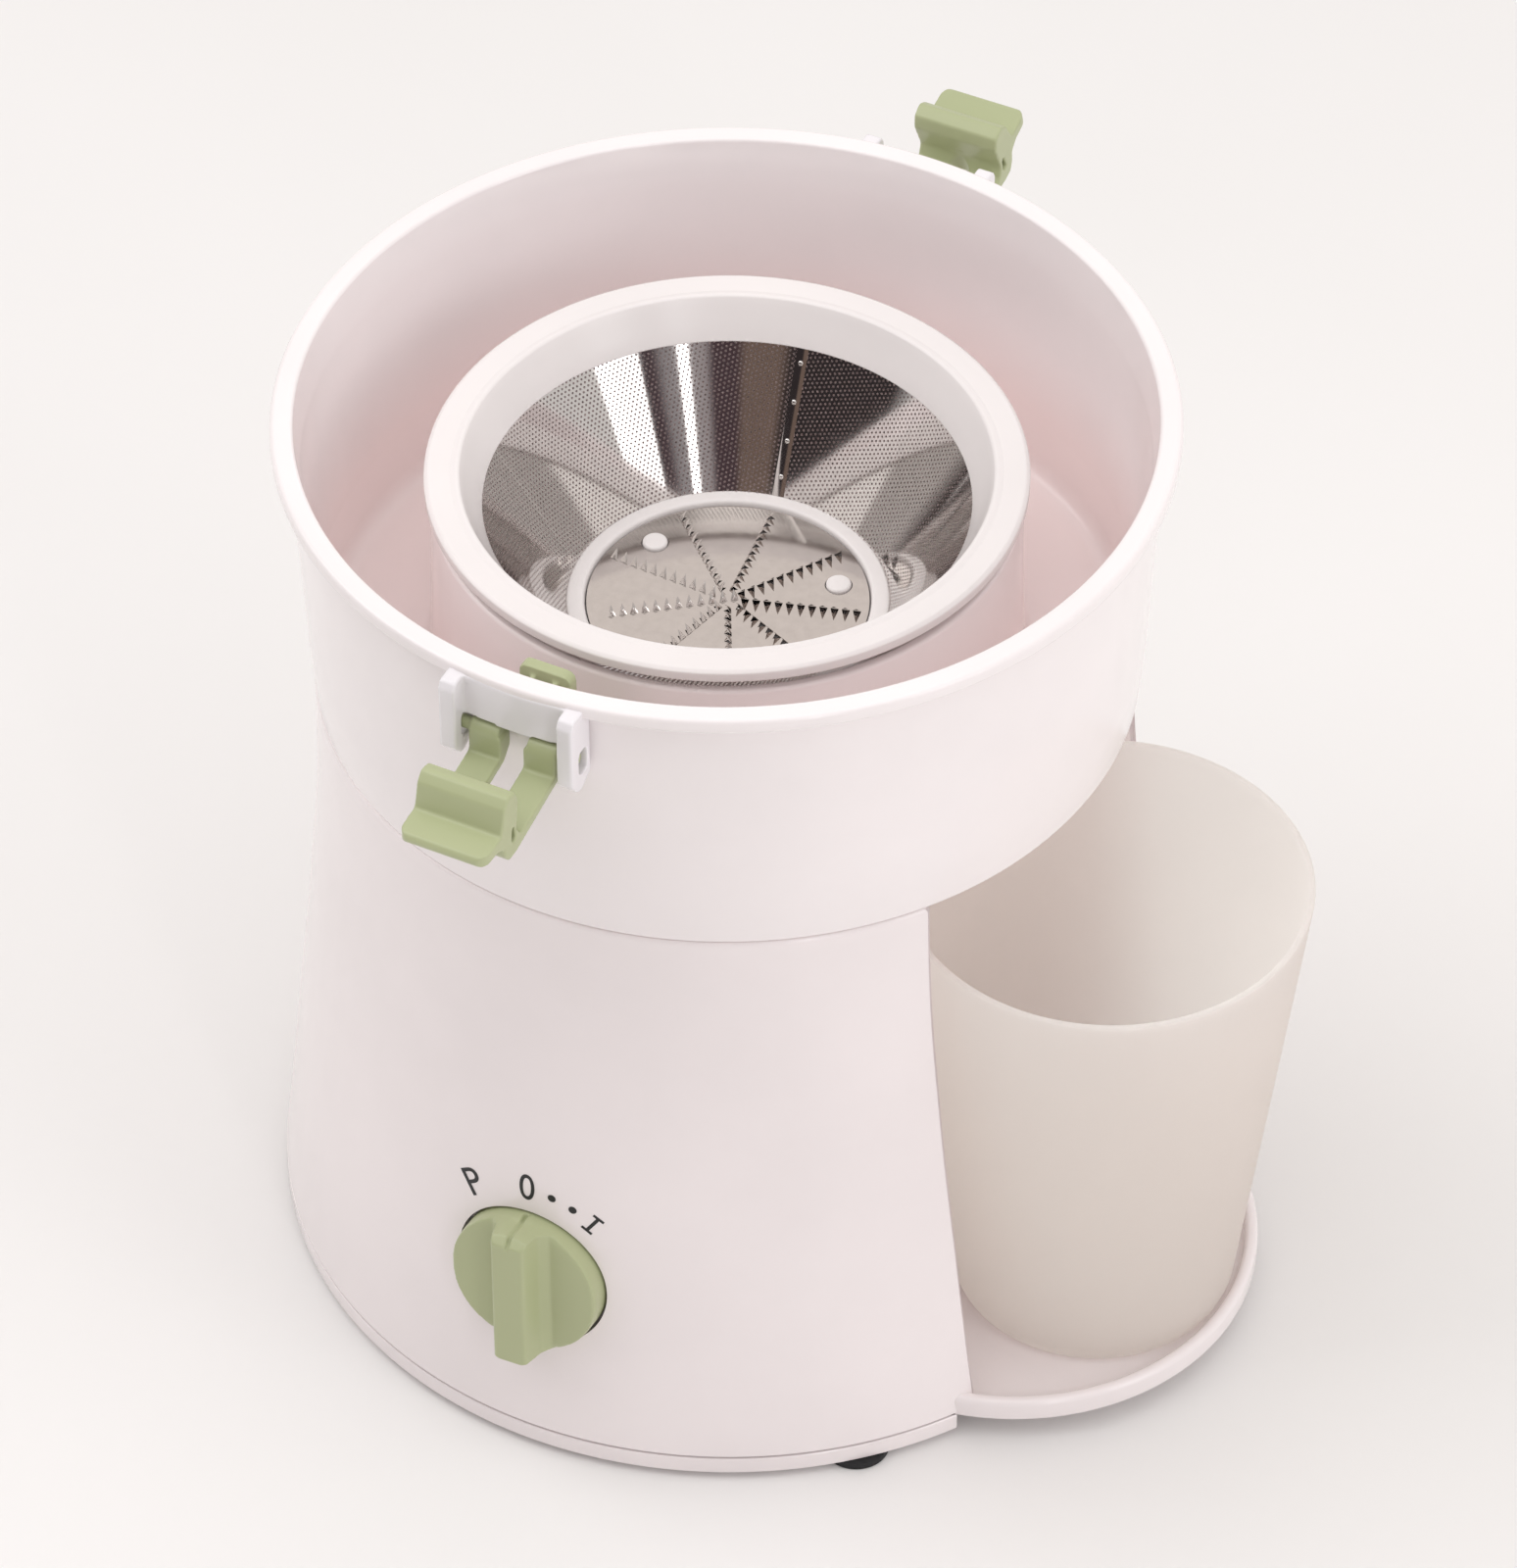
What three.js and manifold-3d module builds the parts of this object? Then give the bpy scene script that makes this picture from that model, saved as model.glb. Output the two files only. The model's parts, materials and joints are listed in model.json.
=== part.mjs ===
// Centrifugal juicer: motor base with cup tray, lift-off pulp bowl with two clip latches,
// spinning sieve basket, juice cup. Millimetres, +Z up, floor at z = 0, basket axis on Z,
// dial and front latch towards -Y, cup towards +X.
import * as THREE from "three";
import { mergeVertices } from "three/addons/utils/BufferGeometryUtils.js";
import Module from "manifold-3d";

const wasm = await Module();
wasm.setup();
const { Manifold, Mesh } = wasm;

// ---------------------------------------------------------------- driving dimensions
const GAP = 0.3; // clearance between pieces that touch
const SEAM_Z = 160.4; // top deck of the motor base, the bowl stands on it
const HOUSING_Z = 8; // lower edge of the motor housing
const WALL = 2.6;
const CUP_X = 98; // axis of the bay that the cup stands in
const CUP_AT = 96.5; // the cup's own axis, where it is set down on the tray
const BAY_R = 56; // cup bay cut into the housing
const TRAY_X = 75;
const TRAY_R = 58.5;
const TRAY_Z = 8.6; // tray floor
const RIM_Z = 233; // top of the bowl rim
const CHAMBER_Z = 165.5; // pulp chamber floor
const KNOB = { z: 52.3, r: 18.3, y: -101.85, tilt: 5.9, turned: 3.2 };
const PIVOT = { y: 99.5, z: 217.5 }; // latch pin, both sides
const DECK_HOLE_Y = -85; // interlock rod
const FOOT_AT = [46.6, 133.4, 226.6, 313.4];
const SCREW_AT = [[37, 75], [-37, 75], [-37, -75], [37, -75]];
const AXIS_OFF = { x: 18.45, y: -0.33 }; // middle of the outline, seen from the basket axis
const MOUNT_AT = [[25, 30], [-25, 30], [-25, -30], [25, -30]];

// outer side of the housing, from its lower edge to the deck
const SIDE = [
  [106.7, HOUSING_Z], [104.9, 23], [101.5, 56], [98.6, 82], [96.5, 104],
  [95.1, 119.5], [94.3, 132], [93.8, 148],
];

const COLOUR = {
  shell: 0xe9dfe0, green: 0xb0bc8c, cup: 0xdcd4cc, rubber: 0x2b2b2d, steel: 0xc4c6c8,
  iron: 0x6d7075, copper: 0xb06a3a, black: 0x232326, zinc: 0xb7bbbf, carbon: 0x3a3a3c,
  basket: 0xf1ecea, brass: 0xb99a55, amber: 0xc9a36a,
};

// ---------------------------------------------------------------- solid helpers
function solid(geometry) {
  const g = geometry.clone();
  g.deleteAttribute("normal");
  g.deleteAttribute("uv");
  const merged = mergeVertices(g, 1e-4);
  const make = (flip) => {
    const tri = new Uint32Array(merged.index.array);
    if (flip)
      for (let i = 0; i < tri.length; i += 3) [tri[i + 1], tri[i + 2]] = [tri[i + 2], tri[i + 1]];
    const vertProperties = merged.attributes.position.array;
    return new Manifold(new Mesh({ numProp: 3, vertProperties, triVerts: tri }));
  };
  const body = make(false);
  return body.volume() < 0 ? make(true) : body;
}
const join = (...list) => list.reduce((a, b) => a.add(b));
const cut = (a, ...list) => list.reduce((x, b) => x.subtract(b), a);
const rad = (deg) => (deg * Math.PI) / 180;
const polar = (r, deg) => [r * Math.cos(rad(deg)), r * Math.sin(rad(deg))];

// profile [[r, z], ...] turned about the Z axis
function turn(profile, sides = 40, x = 0, y = 0) {
  const pts = profile.map(([r, z]) => new THREE.Vector2(r, z));
  const onAxis = profile[0][0] === 0 && profile.at(-1)[0] === 0;
  if (!onAxis) pts.push(pts[0].clone());
  const g = new THREE.LatheGeometry(pts, sides).rotateX(Math.PI / 2);
  return solid(g).translate([x, y, 0]);
}
const rod = (r, z0, z1, x = 0, y = 0, sides = 20) =>
  turn([[0, z0], [r, z0], [r, z1], [0, z1]], sides, x, y);
const ring = (r0, r1, z0, z1, x = 0, y = 0, sides = 20) =>
  turn([[r0, z0], [r1, z0], [r1, z1], [r0, z1]], sides, x, y);
const box = (x0, x1, y0, y1, z0, z1) =>
  solid(new THREE.BoxGeometry(x1 - x0, y1 - y0, z1 - z0)).translate([
    (x0 + x1) / 2, (y0 + y1) / 2, (z0 + z1) / 2,
  ]);
function prism(outline, depth) {
  const shape = new THREE.Shape(outline.map(([a, b]) => new THREE.Vector2(a, b)));
  return solid(new THREE.ExtrudeGeometry(shape, { depth, bevelEnabled: false }));
}
// outline in (y, z), spanning x0..x1
const prismX = (outline, x0, x1) =>
  prism(outline, x1 - x0).rotate([90, 0, 90]).translate([x0, 0, 0]);
// outline in (x, z), spanning y0..y1
const prismY = (outline, y0, y1) =>
  prism(outline, y1 - y0).rotate([90, 0, 0]).translate([0, y1, 0]);
const around = (count, make) =>
  join(...Array.from({ length: count }, (_, i) => make((360 * i) / count)));
// piece of a ring between two angles
function sector(r0, r1, z0, z1, from, to, steps = 10) {
  const angles = Array.from({ length: steps + 1 }, (_, i) => from + ((to - from) * i) / steps);
  const outer = angles.map((a) => polar(r1, a));
  const inner = angles.map((a) => polar(r0, a)).reverse();
  return prism([...outer, ...inner], z1 - z0).translate([0, 0, z0]);
}

const root = new THREE.Group();
root.name = "centrifugal_juicer";
const placed = new THREE.Group(); // puts the origin under the middle of the whole outline
placed.position.set(-AXIS_OFF.x, -AXIS_OFF.y, 0);
root.add(placed);
function add(name, body, color, roughness = 0.35, metalness = 0) {
  const m = body.getMesh();
  const g = new THREE.BufferGeometry();
  g.setAttribute("position", new THREE.BufferAttribute(new Float32Array(m.vertProperties), 3));
  g.setIndex(new THREE.BufferAttribute(new Uint32Array(m.triVerts), 1));
  g.computeVertexNormals();
  const mesh = new THREE.Mesh(g, new THREE.MeshStandardMaterial({ color, roughness, metalness }));
  mesh.name = name;
  placed.add(mesh);
}

// ---------------------------------------------------------------- dial axis
// local frame: +Z points out of the panel along the dial's axis
const onDial = (body) =>
  body.rotate([90 - KNOB.tilt, 0, 0]).translate([0, KNOB.y, KNOB.z]);

// mains inlet low on the rear wall, square to the wall
const onInlet = (body) => body.rotate([-83.2, 0, 0]).translate([0, 95.2, 18.8]);

// ---------------------------------------------------------------- motor housing
function motorHousing() {
  const top = [[93.75, SEAM_Z - 1.2], [92.9, SEAM_Z - 0.2]];
  const outside = [...SIDE, ...top];
  const outer = turn([[0, HOUSING_Z], ...outside, [92.6, SEAM_Z], [0, SEAM_Z]], 44);
  const inside = SIDE.map(([r, z]) => [r - WALL, z]);
  inside[0][1] = 4;
  const inner = turn([[0, 4], ...inside, [91.1, SEAM_Z - WALL], [0, SEAM_Z - WALL]], 44);
  const bayWall = rod(BAY_R + WALL, HOUSING_Z, SEAM_Z, CUP_X, 0, 36).intersect(outer);
  const interior = inner.subtract(rod(BAY_R + 1.3, 0, 200, CUP_X, 0, 36));

  const posts = SCREW_AT.map(([x, y]) => rod(4.5, HOUSING_Z, SEAM_Z - 1, x, y, 14));
  const mounts = MOUNT_AT.map(([x, y]) => rod(5, 136.5, SEAM_Z - 1, x, y, 14));
  const boss = rod(17, SEAM_Z - 1, 166.8, 0, 0, 28);
  const dialCup = onDial(rod(KNOB.r + 3.2, -9.4, 0, 0, 0, 28)).intersect(outer);
  const lip = turn(
    [[0, 6], [57.2, 6], [58.5, 7.4], [58.5, 11.4], [57.6, 12.6], [56.4, 12.7], [55.6, 11.9],
      [55.2, 9.4], [54.4, TRAY_Z], [0, TRAY_Z]], 36, TRAY_X);
  const body = join(
    outer.subtract(inner), bayWall, ...posts, ...mounts, boss, dialCup,
  ).subtract(rod(BAY_R, 0, 200, CUP_X, 0, 36));
  return cut(
    join(body, lip.subtract(interior)),
    ...SCREW_AT.map(([x, y]) => rod(1.65, 0, 26, x, y, 12)),
    ...MOUNT_AT.map(([x, y]) => rod(1.65, 130, 150, x, y, 12)),
    rod(12.3, 140, 180, 0, 0, 28),
    onDial(rod(KNOB.r + 0.7, -6.8, 12, 0, 0, 28)),
    onDial(rod(4.4, -12, 0, 0, 0, 16)),
    box(-5.2, 5.2, DECK_HOLE_Y - 2.6, DECK_HOLE_Y + 2.6, 150, 170),
    onInlet(rod(6.6, -2, 26, 0, 0, 20)),
  );
}
add("motor_housing", motorHousing(), COLOUR.shell, 0.18);

// ---------------------------------------------------------------- bottom cover, feet, screws
function bottomCover() {
  const plate = turn(
    [[0, 3], [105.4, 3], [106.7, 4.2], [106.7, HOUSING_Z - GAP], [104.4, HOUSING_Z - GAP],
      [104.2, 5.4], [0, 5.4]], 44);
  const key = ring(101.2, 103, 5, 12, 0, 0, 44);
  const seats = SCREW_AT.map(([x, y]) => rod(6.6, 3, HOUSING_Z - GAP, x, y, 16));
  const slots = Array.from({ length: 10 }, (_, i) =>
    box(20, 44, -1.9, 1.9, 0, 9).rotate([0, 0, 45 + 30 * i])); // none beside the cup bay
  return cut(
    join(plate, key, ...seats),
    rod(BAY_R + WALL + GAP, 0, 20, CUP_X, 0, 36),
    ...slots,
    ...SCREW_AT.map(([x, y]) => rod(1.9, 0, 9, x, y, 12)),
    ...SCREW_AT.map(([x, y]) => rod(4.4, 0, 5.7, x, y, 16)),
    ...FOOT_AT.map((a) => rod(3.3, 0, 9, ...polar(96, a), 12)),
  );
}
add("bottom_cover", bottomCover(), COLOUR.shell, 0.3);
FOOT_AT.forEach((a, i) => {
  const [x, y] = polar(96, a);
  const pad = [[0, 0], [6.4, 0], [7.4, 1], [7.4, 3 - GAP], [3, 3 - GAP], [3, 5.6], [0, 5.6]];
  add(`foot_${i + 1}`, turn(pad, 14, x, y), COLOUR.rubber, 0.85);
});
SCREW_AT.forEach(([x, y], i) => {
  const pin = [[0, 3.1], [3.9, 3.1], [3.9, 5.4], [1.45, 5.5], [1.45, 22], [0, 23]];
  add(`cover_screw_${i + 1}`, turn(pin, 8, x, y), COLOUR.zinc, 0.35, 0.9);
});
add("cord_gland",
  onInlet(cut(turn([[0, 0], [4.6, 0], [6.2, 2], [6.2, 10], [8.6, 10.7], [8.6, 12.6], [6, 16],
    [5.4, 21], [0, 21]], 16), rod(3, -1, 25, 0, 0, 12))),
  COLOUR.shell, 0.6);

// ---------------------------------------------------------------- dial and switch
function knob() {
  const disc = turn([[0, -5.4], [17.6, -5.4], [KNOB.r, -4.6], [KNOB.r, 2.4], [17.3, 3.3], [0, 3.3]], 32);
  const side = [[18.3, -1], [18.3, 3.3], [9, 3.2], [6.4, 4.1], [4.9, 6], [4.05, 10.6]];
  const face = prismY([...side, ...side.map(([x, z]) => [-x, z]).reverse()], -17.95, 17.95)
    .intersect(turn([[0, -2], [KNOB.r, -2], [18, 10.6], [0, 10.6]], 32));
  const crest = prismX([[15.9, 10.7], [18.6, 8], [18.6, 12], [15.9, 12]], -9, 9);
  const groove = prismX([[15, 11], [15.6, 10.1], [17.5, 8.2], [17.5, 0], [19, 0], [19, 11]], -0.5, 0.5);
  const socket = rod(3.4, -8, 5, 0, 0, 16);
  return onDial(cut(join(disc, face), crest, groove, socket).rotate([0, 0, KNOB.turned]));
}
add("knob", knob(), COLOUR.green, 0.35);
add("switch_shaft", onDial(rod(3, -30, 4.4, 0, 0, 16)), COLOUR.zinc, 0.4, 0.8);
add("rotary_switch",
  onDial(cut(
    join(rod(6.4, -14.4, -9.9, 0, 0, 24), box(-15, 15, -13, 13, -30.6, -14)),
    rod(3.3, -31, 0, 0, 0, 16))),
  COLOUR.black, 0.5);

// ---------------------------------------------------------------- interlock
add("interlock_switch",
  cut(box(-9, 9, DECK_HOLE_Y - 5, DECK_HOLE_Y + 5, 143, 157.4),
    box(-4.3, 4.3, DECK_HOLE_Y - 2, DECK_HOLE_Y + 2, 148, 158)),
  COLOUR.black, 0.5);
add("switch_plunger", box(-3.6, 3.6, DECK_HOLE_Y - 1.6, DECK_HOLE_Y + 1.6, 153.4, 159.6),
  COLOUR.brass, 0.5);
function interlockLever() {
  const blade = prismY(
    [[-4, 160.4], [4, 160.4], [4, 205], [10.4, 212.5], [10.4, 216], [6.2, 219.4], [6.2, 224],
      [4.4, 226.2], [-4.4, 226.2], [-6.2, 224], [-6.2, 205], [-4, 203]], -86.4, -83.6);
  const ribs = [-2.7, 2.7].map((x) =>
    prismX([[-86.2, 200], [-88, 202], [-88, 221.6], [-86.2, 224.4]], x - 0.55, x + 0.55));
  return join(blade, ...ribs);
}
add("interlock_lever", interlockLever(), COLOUR.green, 0.35);

// ---------------------------------------------------------------- motor, fixed pieces
const MOTOR = { statorZ: [66, 106], topPlateZ: 124, bottomPlateZ: 38 };
add("stator_core",
  join(
    ring(30, 34, ...MOTOR.statorZ, 0, 0, 32),
    ...[90, 270].map((a) => sector(21.7, 24.2, ...MOTOR.statorZ, a - 48, a + 48)),
    ...[1, -1].map((s) => box(-8, 8, s > 0 ? 23.6 : -31, s > 0 ? 31 : -23.6, ...MOTOR.statorZ)),
  ),
  COLOUR.iron, 0.45, 0.9);
[["field_coil_a", 90, 1], ["field_coil_b", 270, -1]].forEach(([name, a, s]) => {
  const hole = box(-8.3, 8.3, s > 0 ? 20 : -32, s > 0 ? 32 : -20, 65.7, 106.3);
  add(name, sector(24.6, 29.6, 59, 113, a - 40, a + 40).subtract(hole), COLOUR.copper, 0.4, 0.6);
});
const legs = (z0, z1) => [0, 180].map((a) => sector(30.3, 33.8, z0, z1, a - 16, a + 16, 6));
add("bearing_bracket_top",
  cut(
    join(
      prism([[-30, -37], [30, -37], [33, -30], [33, 30], [30, 37], [-30, 37], [-33, 30], [-33, -30]], 3.4)
        .translate([0, 0, MOTOR.topPlateZ]),
      rod(11, 117.6, MOTOR.topPlateZ + 3.4, 0, 0, 20), ...legs(106.3, MOTOR.topPlateZ + 1)),
    rod(4.6, 100, 140, 0, 0, 20), rod(8.3, 117, 125.4, 0, 0, 20),
    ...MOUNT_AT.map(([x, y]) => rod(2.1, 120, 130, x, y, 12)),
  ),
  COLOUR.zinc, 0.4, 0.85);
add("bearing_bracket_bottom",
  cut(
    join(rod(33, MOTOR.bottomPlateZ - 2, MOTOR.bottomPlateZ + 1, 0, 0, 28),
      rod(11, MOTOR.bottomPlateZ - 2, 44, 0, 0, 20), ...legs(MOTOR.bottomPlateZ, 65.7)),
    rod(4.6, 30, 50, 0, 0, 20), rod(8.3, 37.4, 45, 0, 0, 20),
    ...[45, 135, 225, 315].map((a) => rod(6, 30, 42, ...polar(22, a), 12)),
  ),
  COLOUR.zinc, 0.4, 0.85);
add("bearing_top", ring(4.3, 8, 118.4, 125.1, 0, 0, 20), COLOUR.steel, 0.2, 1);
add("bearing_bottom", ring(4.3, 8, 37.7, 43.4, 0, 0, 20), COLOUR.steel, 0.2, 1);
[["a", 1], ["b", -1]].forEach(([tag, s]) => {
  const y = (v0, v1) => (s > 0 ? [v0, v1] : [-v1, -v0]);
  add(`brush_holder_${tag}`,
    join(
      box(-5, 5, ...y(14.5, 33), 46.8, 56.6).subtract(box(-2.9, 2.9, ...y(10, 31), 48.9, 54.5)),
      box(-7, 7, ...y(27, 32), MOTOR.bottomPlateZ + 1 + GAP, 47.4)),
    COLOUR.amber, 0.5);
  add(`brush_${tag}`, box(-2.6, 2.6, ...y(12.4, 28), 49.2, 54.2), COLOUR.carbon, 0.6);
});
MOUNT_AT.forEach(([x, y], i) => {
  const bush = [[2.4, 127.7], [5.4, 127.7], [6.4, 129], [6.4, 135], [5.4, 136.2], [2.4, 136.2]];
  add(`damper_${i + 1}`, turn(bush, 12, x, y), COLOUR.rubber, 0.85);
  const pin = [[0, 120.6], [3.8, 120.6], [3.8, 123.7], [1.45, 123.8], [1.45, 147], [0, 148]];
  add(`motor_screw_${i + 1}`, turn(pin, 8, x, y), COLOUR.zinc, 0.35, 0.9);
});
add("shaft_seal",
  turn([[4.4, 160], [12, 160], [12, 166.8], [10.6, 166.8], [9.6, 163], [6, 162.6], [5.2, 165.8],
    [4.4, 165.8]], 20),
  COLOUR.rubber, 0.7);
add("filter_capacitor", box(-62, -44, -10, 10, 20, 34), COLOUR.amber, 0.5);

// ---------------------------------------------------------------- rotor
add("rotor_shaft", rod(4, 18, 173, 0, 0, 24), COLOUR.steel, 0.2, 1);
const SLOTS = 8;
add("armature_core",
  cut(ring(4.3, 21.3, 66, 106, 0, 0, 24),
    around(SLOTS, (a) => box(12, 23, -1.9, 1.9, 60, 110).rotate([0, 0, a]))),
  COLOUR.iron, 0.4, 0.9);
add("armature_winding",
  join(around(SLOTS, (a) => box(12.6, 20.4, -1.5, 1.5, 62, 110).rotate([0, 0, a])),
    turn([[7, 60.6], [17, 60.6], [19.6, 62.6], [19.6, 65.6], [7, 65.6]], 16),
    turn([[7, 106.4], [19.6, 106.4], [19.6, 109.4], [17, 111.6], [7, 111.6]], 16)),
  COLOUR.copper, 0.4, 0.6);
add("commutator",
  cut(turn([[4.3, 45.6], [12, 45.6], [12, 57], [13.6, 57.4], [13.6, 59.4], [4.3, 59.4]], 24),
    around(8, (a) => box(11, 13, -0.4, 0.4, 45, 57).rotate([0, 0, a + 15]))),
  COLOUR.copper, 0.25, 0.9);
add("cooling_fan",
  join(ring(4.3, 9, 20, 34, 0, 0, 24), ring(8.6, 31, 31.6, 33.4, 0, 0, 24),
    around(9, (a) => box(8, 30.4, -0.9, 0.9, 21, 32).rotate([0, 0, a]))),
  COLOUR.black, 0.5);
const spline = (r0, r1, teeth) =>
  Array.from({ length: teeth * 4 }, (_, i) =>
    polar(i % 4 < 2 ? r1 : r0, (360 * (i - 0.5 + (i % 2 ? -0.12 : 0.12))) / (teeth * 4)));
add("drive_coupling",
  cut(prism(spline(6.6, 8.6, 6), 5.6).translate([0, 0, 167.3]), rod(4.3, 160, 180, 0, 0, 24)),
  COLOUR.black, 0.45);

// ---------------------------------------------------------------- bowl
// outline of one latch ear in (distance from axis, z)
const EAR = [[93.4, 231.5], [103.6, 231.5], [104.6, 230.2], [104.6, 213.5], [103.6, 211],
  [101.8, 210], [99.5, 210.4], [93.4, 214]];
function latchMount(side) {
  const mirror = (pts) => pts.map(([d, z]) => [side * d, z]);
  const pin = (r, z) => rod(r, -20, 20, 0, 0, 16).rotate([0, 90, 0]).translate([0, side * PIVOT.y, z]);
  const slot = Manifold.hull([pin(1.85, PIVOT.z - 1.4), pin(1.85, PIVOT.z + 1.4)]);
  const ears = [[11.6, 14.2], [-14.2, -11.6]].map(([a, b]) => prismX(mirror(EAR), a, b));
  const panel = prismX(mirror([[94, 222], [102.2, 222], [102.2, 231], [94, 231]]), -12, 12);
  const behind = prismX(mirror([[90, 221], [100.2, 221], [100.2, 228.4], [90, 228.4]]), -11.6, 11.6);
  const shell = rod(100.9, 220, 233, 0, 0, 28);
  return cut(join(...ears, panel.subtract(behind.subtract(rod(97, 0, 300, 0, 0, 28))).intersect(
    join(shell, prismX(mirror([[90, 220], [102.2, 220], [102.2, 231], [90, 231]]), -12, 12)))), slot);
}
function bowl() {
  const wall = turn([
    [91.6, 160.7], [93.5, 160.7], [93.9, 161.2], [94.5, 174], [95.4, 195.6], [96.9, 226],
    [98.4, 229], [100.1, 229.6], [100.7, 230.6], [100.7, 232], [99.8, RIM_Z], [96, RIM_Z],
    [95, 232], [94.4, 222], [92.4, 180], [91.4, 169.5], [90.2, 166.6], [88, CHAMBER_Z],
    [68.6, CHAMBER_Z], [66.7, 167], [66.2, 170], [65.9, 209], [65.3, 209.6], [64, 209.6],
    [63.4, 209], [62.6, 168.6], [61.6, 166.4], [59.6, CHAMBER_Z], [26, 166.3], [22.6, 167.4],
    [22, 170], [20.6, 170], [20, 169.4], [20, 163], [90.8, 163],
  ], 44);
  const chute = prismY([[47, 163.4], [80, 163.4], [80, 150], [66.5, 150], [47, 158]], -11.5, 11.5);
  const channel = prismY(
    [[49.5, 175], [60.6, 175], [60.6, 161.4], [78, 161.4], [78, 149], [68, 149], [68, 151.6],
      [49.5, 159.2]], -9.5, 9.5);
  const guide = join(
    box(-13.2, 13.2, -95, -81.4, 164, 166.6),
    ...[-1, 1].map((s) => box(s > 0 ? 11.2 : -13.2, s > 0 ? 13.2 : -11.2, -94, -81.6, 164, 212)))
    .intersect(rod(93, 160, 224, 0, 0, 44));
  const slot = box(-4.6, 4.6, DECK_HOLE_Y - 1.8, DECK_HOLE_Y + 1.8, 160, 180);
  return cut(join(wall, chute, guide, latchMount(1), latchMount(-1)), channel, slot);
}
add("bowl", bowl(), COLOUR.shell, 0.16);

// ---------------------------------------------------------------- latches
// side outline in (distance from axis, z): leg, hook and finger tab
const CLIP = [
  [99.4, 211.6], [101, 210], [103.4, 209.4], [119.4, 206], [122.6, 205.7], [124.4, 207.2],
  [125.3, 210.6], [127.6, 212.1], [133.6, 212.4], [134.6, 213.7], [133.6, 215.1], [126.6, 215.5],
  [123.7, 216.4], [122.7, 218.8], [123.5, 222.4], [121.9, 223.8], [119.5, 223], [118.3, 220],
  [119.2, 212], [117.6, 209.2], [103, 212.2], [102, 213.4], [101.9, PIVOT.z], [97.4, PIVOT.z],
  [97.3, 213.9],
];
function latch(side) {
  const outline = CLIP.map(([d, z]) => [side * d, z]);
  const across = (r, x) => rod(r, -x, x, 0, 0, 16).rotate([0, 90, 0])
    .translate([0, side * PIVOT.y, PIVOT.z]);
  const body = join(prismX(outline, -10.5, 10.5), across(2.4, 10.5), across(1.5, 14));
  const y = (a, b) => (side > 0 ? [a, b] : [-b, -a]);
  const gap = join(
    box(-2.6, 2.6, ...y(90, 118), 200, PIVOT.z - 2.5),
    rod(2.6, 200, 213, 0, side * 116.6, 16));
  return body.subtract(gap);
}
add("latch_front", latch(-1), COLOUR.green, 0.35);
const BACK_TILT = 19; // the rear latch stands a little higher
add("latch_back",
  latch(1).translate([0, -PIVOT.y, -PIVOT.z]).rotate([BACK_TILT, 0, 0])
    .translate([0, PIVOT.y, PIVOT.z]),
  COLOUR.green, 0.35);

// ---------------------------------------------------------------- sieve basket
add("basket_rim",
  turn([[55.2, 206.5], [58.9, 215.4], [59.7, 216.4], [66.3, 216.7], [67.3, 215.8], [67.3, 213.6],
    [66.5, 213.1], [61.2, 213.1], [59.8, 212.4], [57.2, 206.5]], 40),
  COLOUR.basket, 0.2);
add("basket_mesh", turn([[36.5, 177.8], [37.5, 177.8], [56.2, 206.2], [55.2, 206.2]], 40),
  COLOUR.steel, 0.2, 1);
const STAKE_AT = [157.4, 37.4, 277.4];
add("basket_base",
  cut(
    join(
      turn([[0, 172.2], [14, 172.2], [16, 171.4], [35, 171.4], [37.3, 173], [37.3, 176.9],
        [36.6, 177.5], [33.2, 177.5], [32.6, 176.9], [32.6, 175], [0, 175]], 40),
      rod(14, 167.6, 173, 0, 0, 20),
      ...STAKE_AT.map((a) => rod(2.8, 174, 177, ...polar(25.5, a), 12))),
    prism(spline(7.2, 9.2, 6), 6.1).translate([0, 0, 167.4]),
  ),
  COLOUR.basket, 0.3);
const TOOTH = { rows: 9, perRow: 6, height: 1.5, first: 17.4 };
function graterDisc() {
  const disc = cut(rod(32.2, 175.3, 176.1, 0, 0, 28),
    ...STAKE_AT.map((a) => rod(3.2, 170, 180, ...polar(25.5, a), 12)));
  const tooth = solid(new THREE.ConeGeometry(0.95, TOOTH.height + 0.3, 4).rotateX(Math.PI / 2));
  const teeth = [];
  for (let row = 0; row < TOOTH.rows; row++)
    for (let i = 0; i < TOOTH.perRow; i++) {
      const a = (360 * row) / TOOTH.rows + TOOTH.first;
      const [x, y] = polar(8 + i * 4.1, a);
      if (STAKE_AT.every((s) => Math.hypot(x - polar(25.5, s)[0], y - polar(25.5, s)[1]) > 4.6))
        teeth.push(tooth.translate([x, y, 176.1 + TOOTH.height / 2]));
    }
  return join(disc, ...teeth);
}
add("grater_disc", graterDisc(), COLOUR.steel, 0.25, 1);

// ---------------------------------------------------------------- cup
add("cup",
  turn([[0, 8.9], [30.4, 8.9], [32.6, 10], [33.3, 12.4], [46.6, 132.4], [47.1, 133],
    [46.2, 133], [45.2, 132.4], [31.8, 12.8], [30.8, 11.2], [0, 11.2]], 44, CUP_AT),
  COLOUR.cup, 0.45);

export default root;
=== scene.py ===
"""Looks of the centrifugal juicer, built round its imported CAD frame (Blender 4.5).

Shapes are worked out in millimetres round the basket's spin axis, as the part's own drawing is,
and carried into the frame's metres when a piece is finished."""
import math

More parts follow.
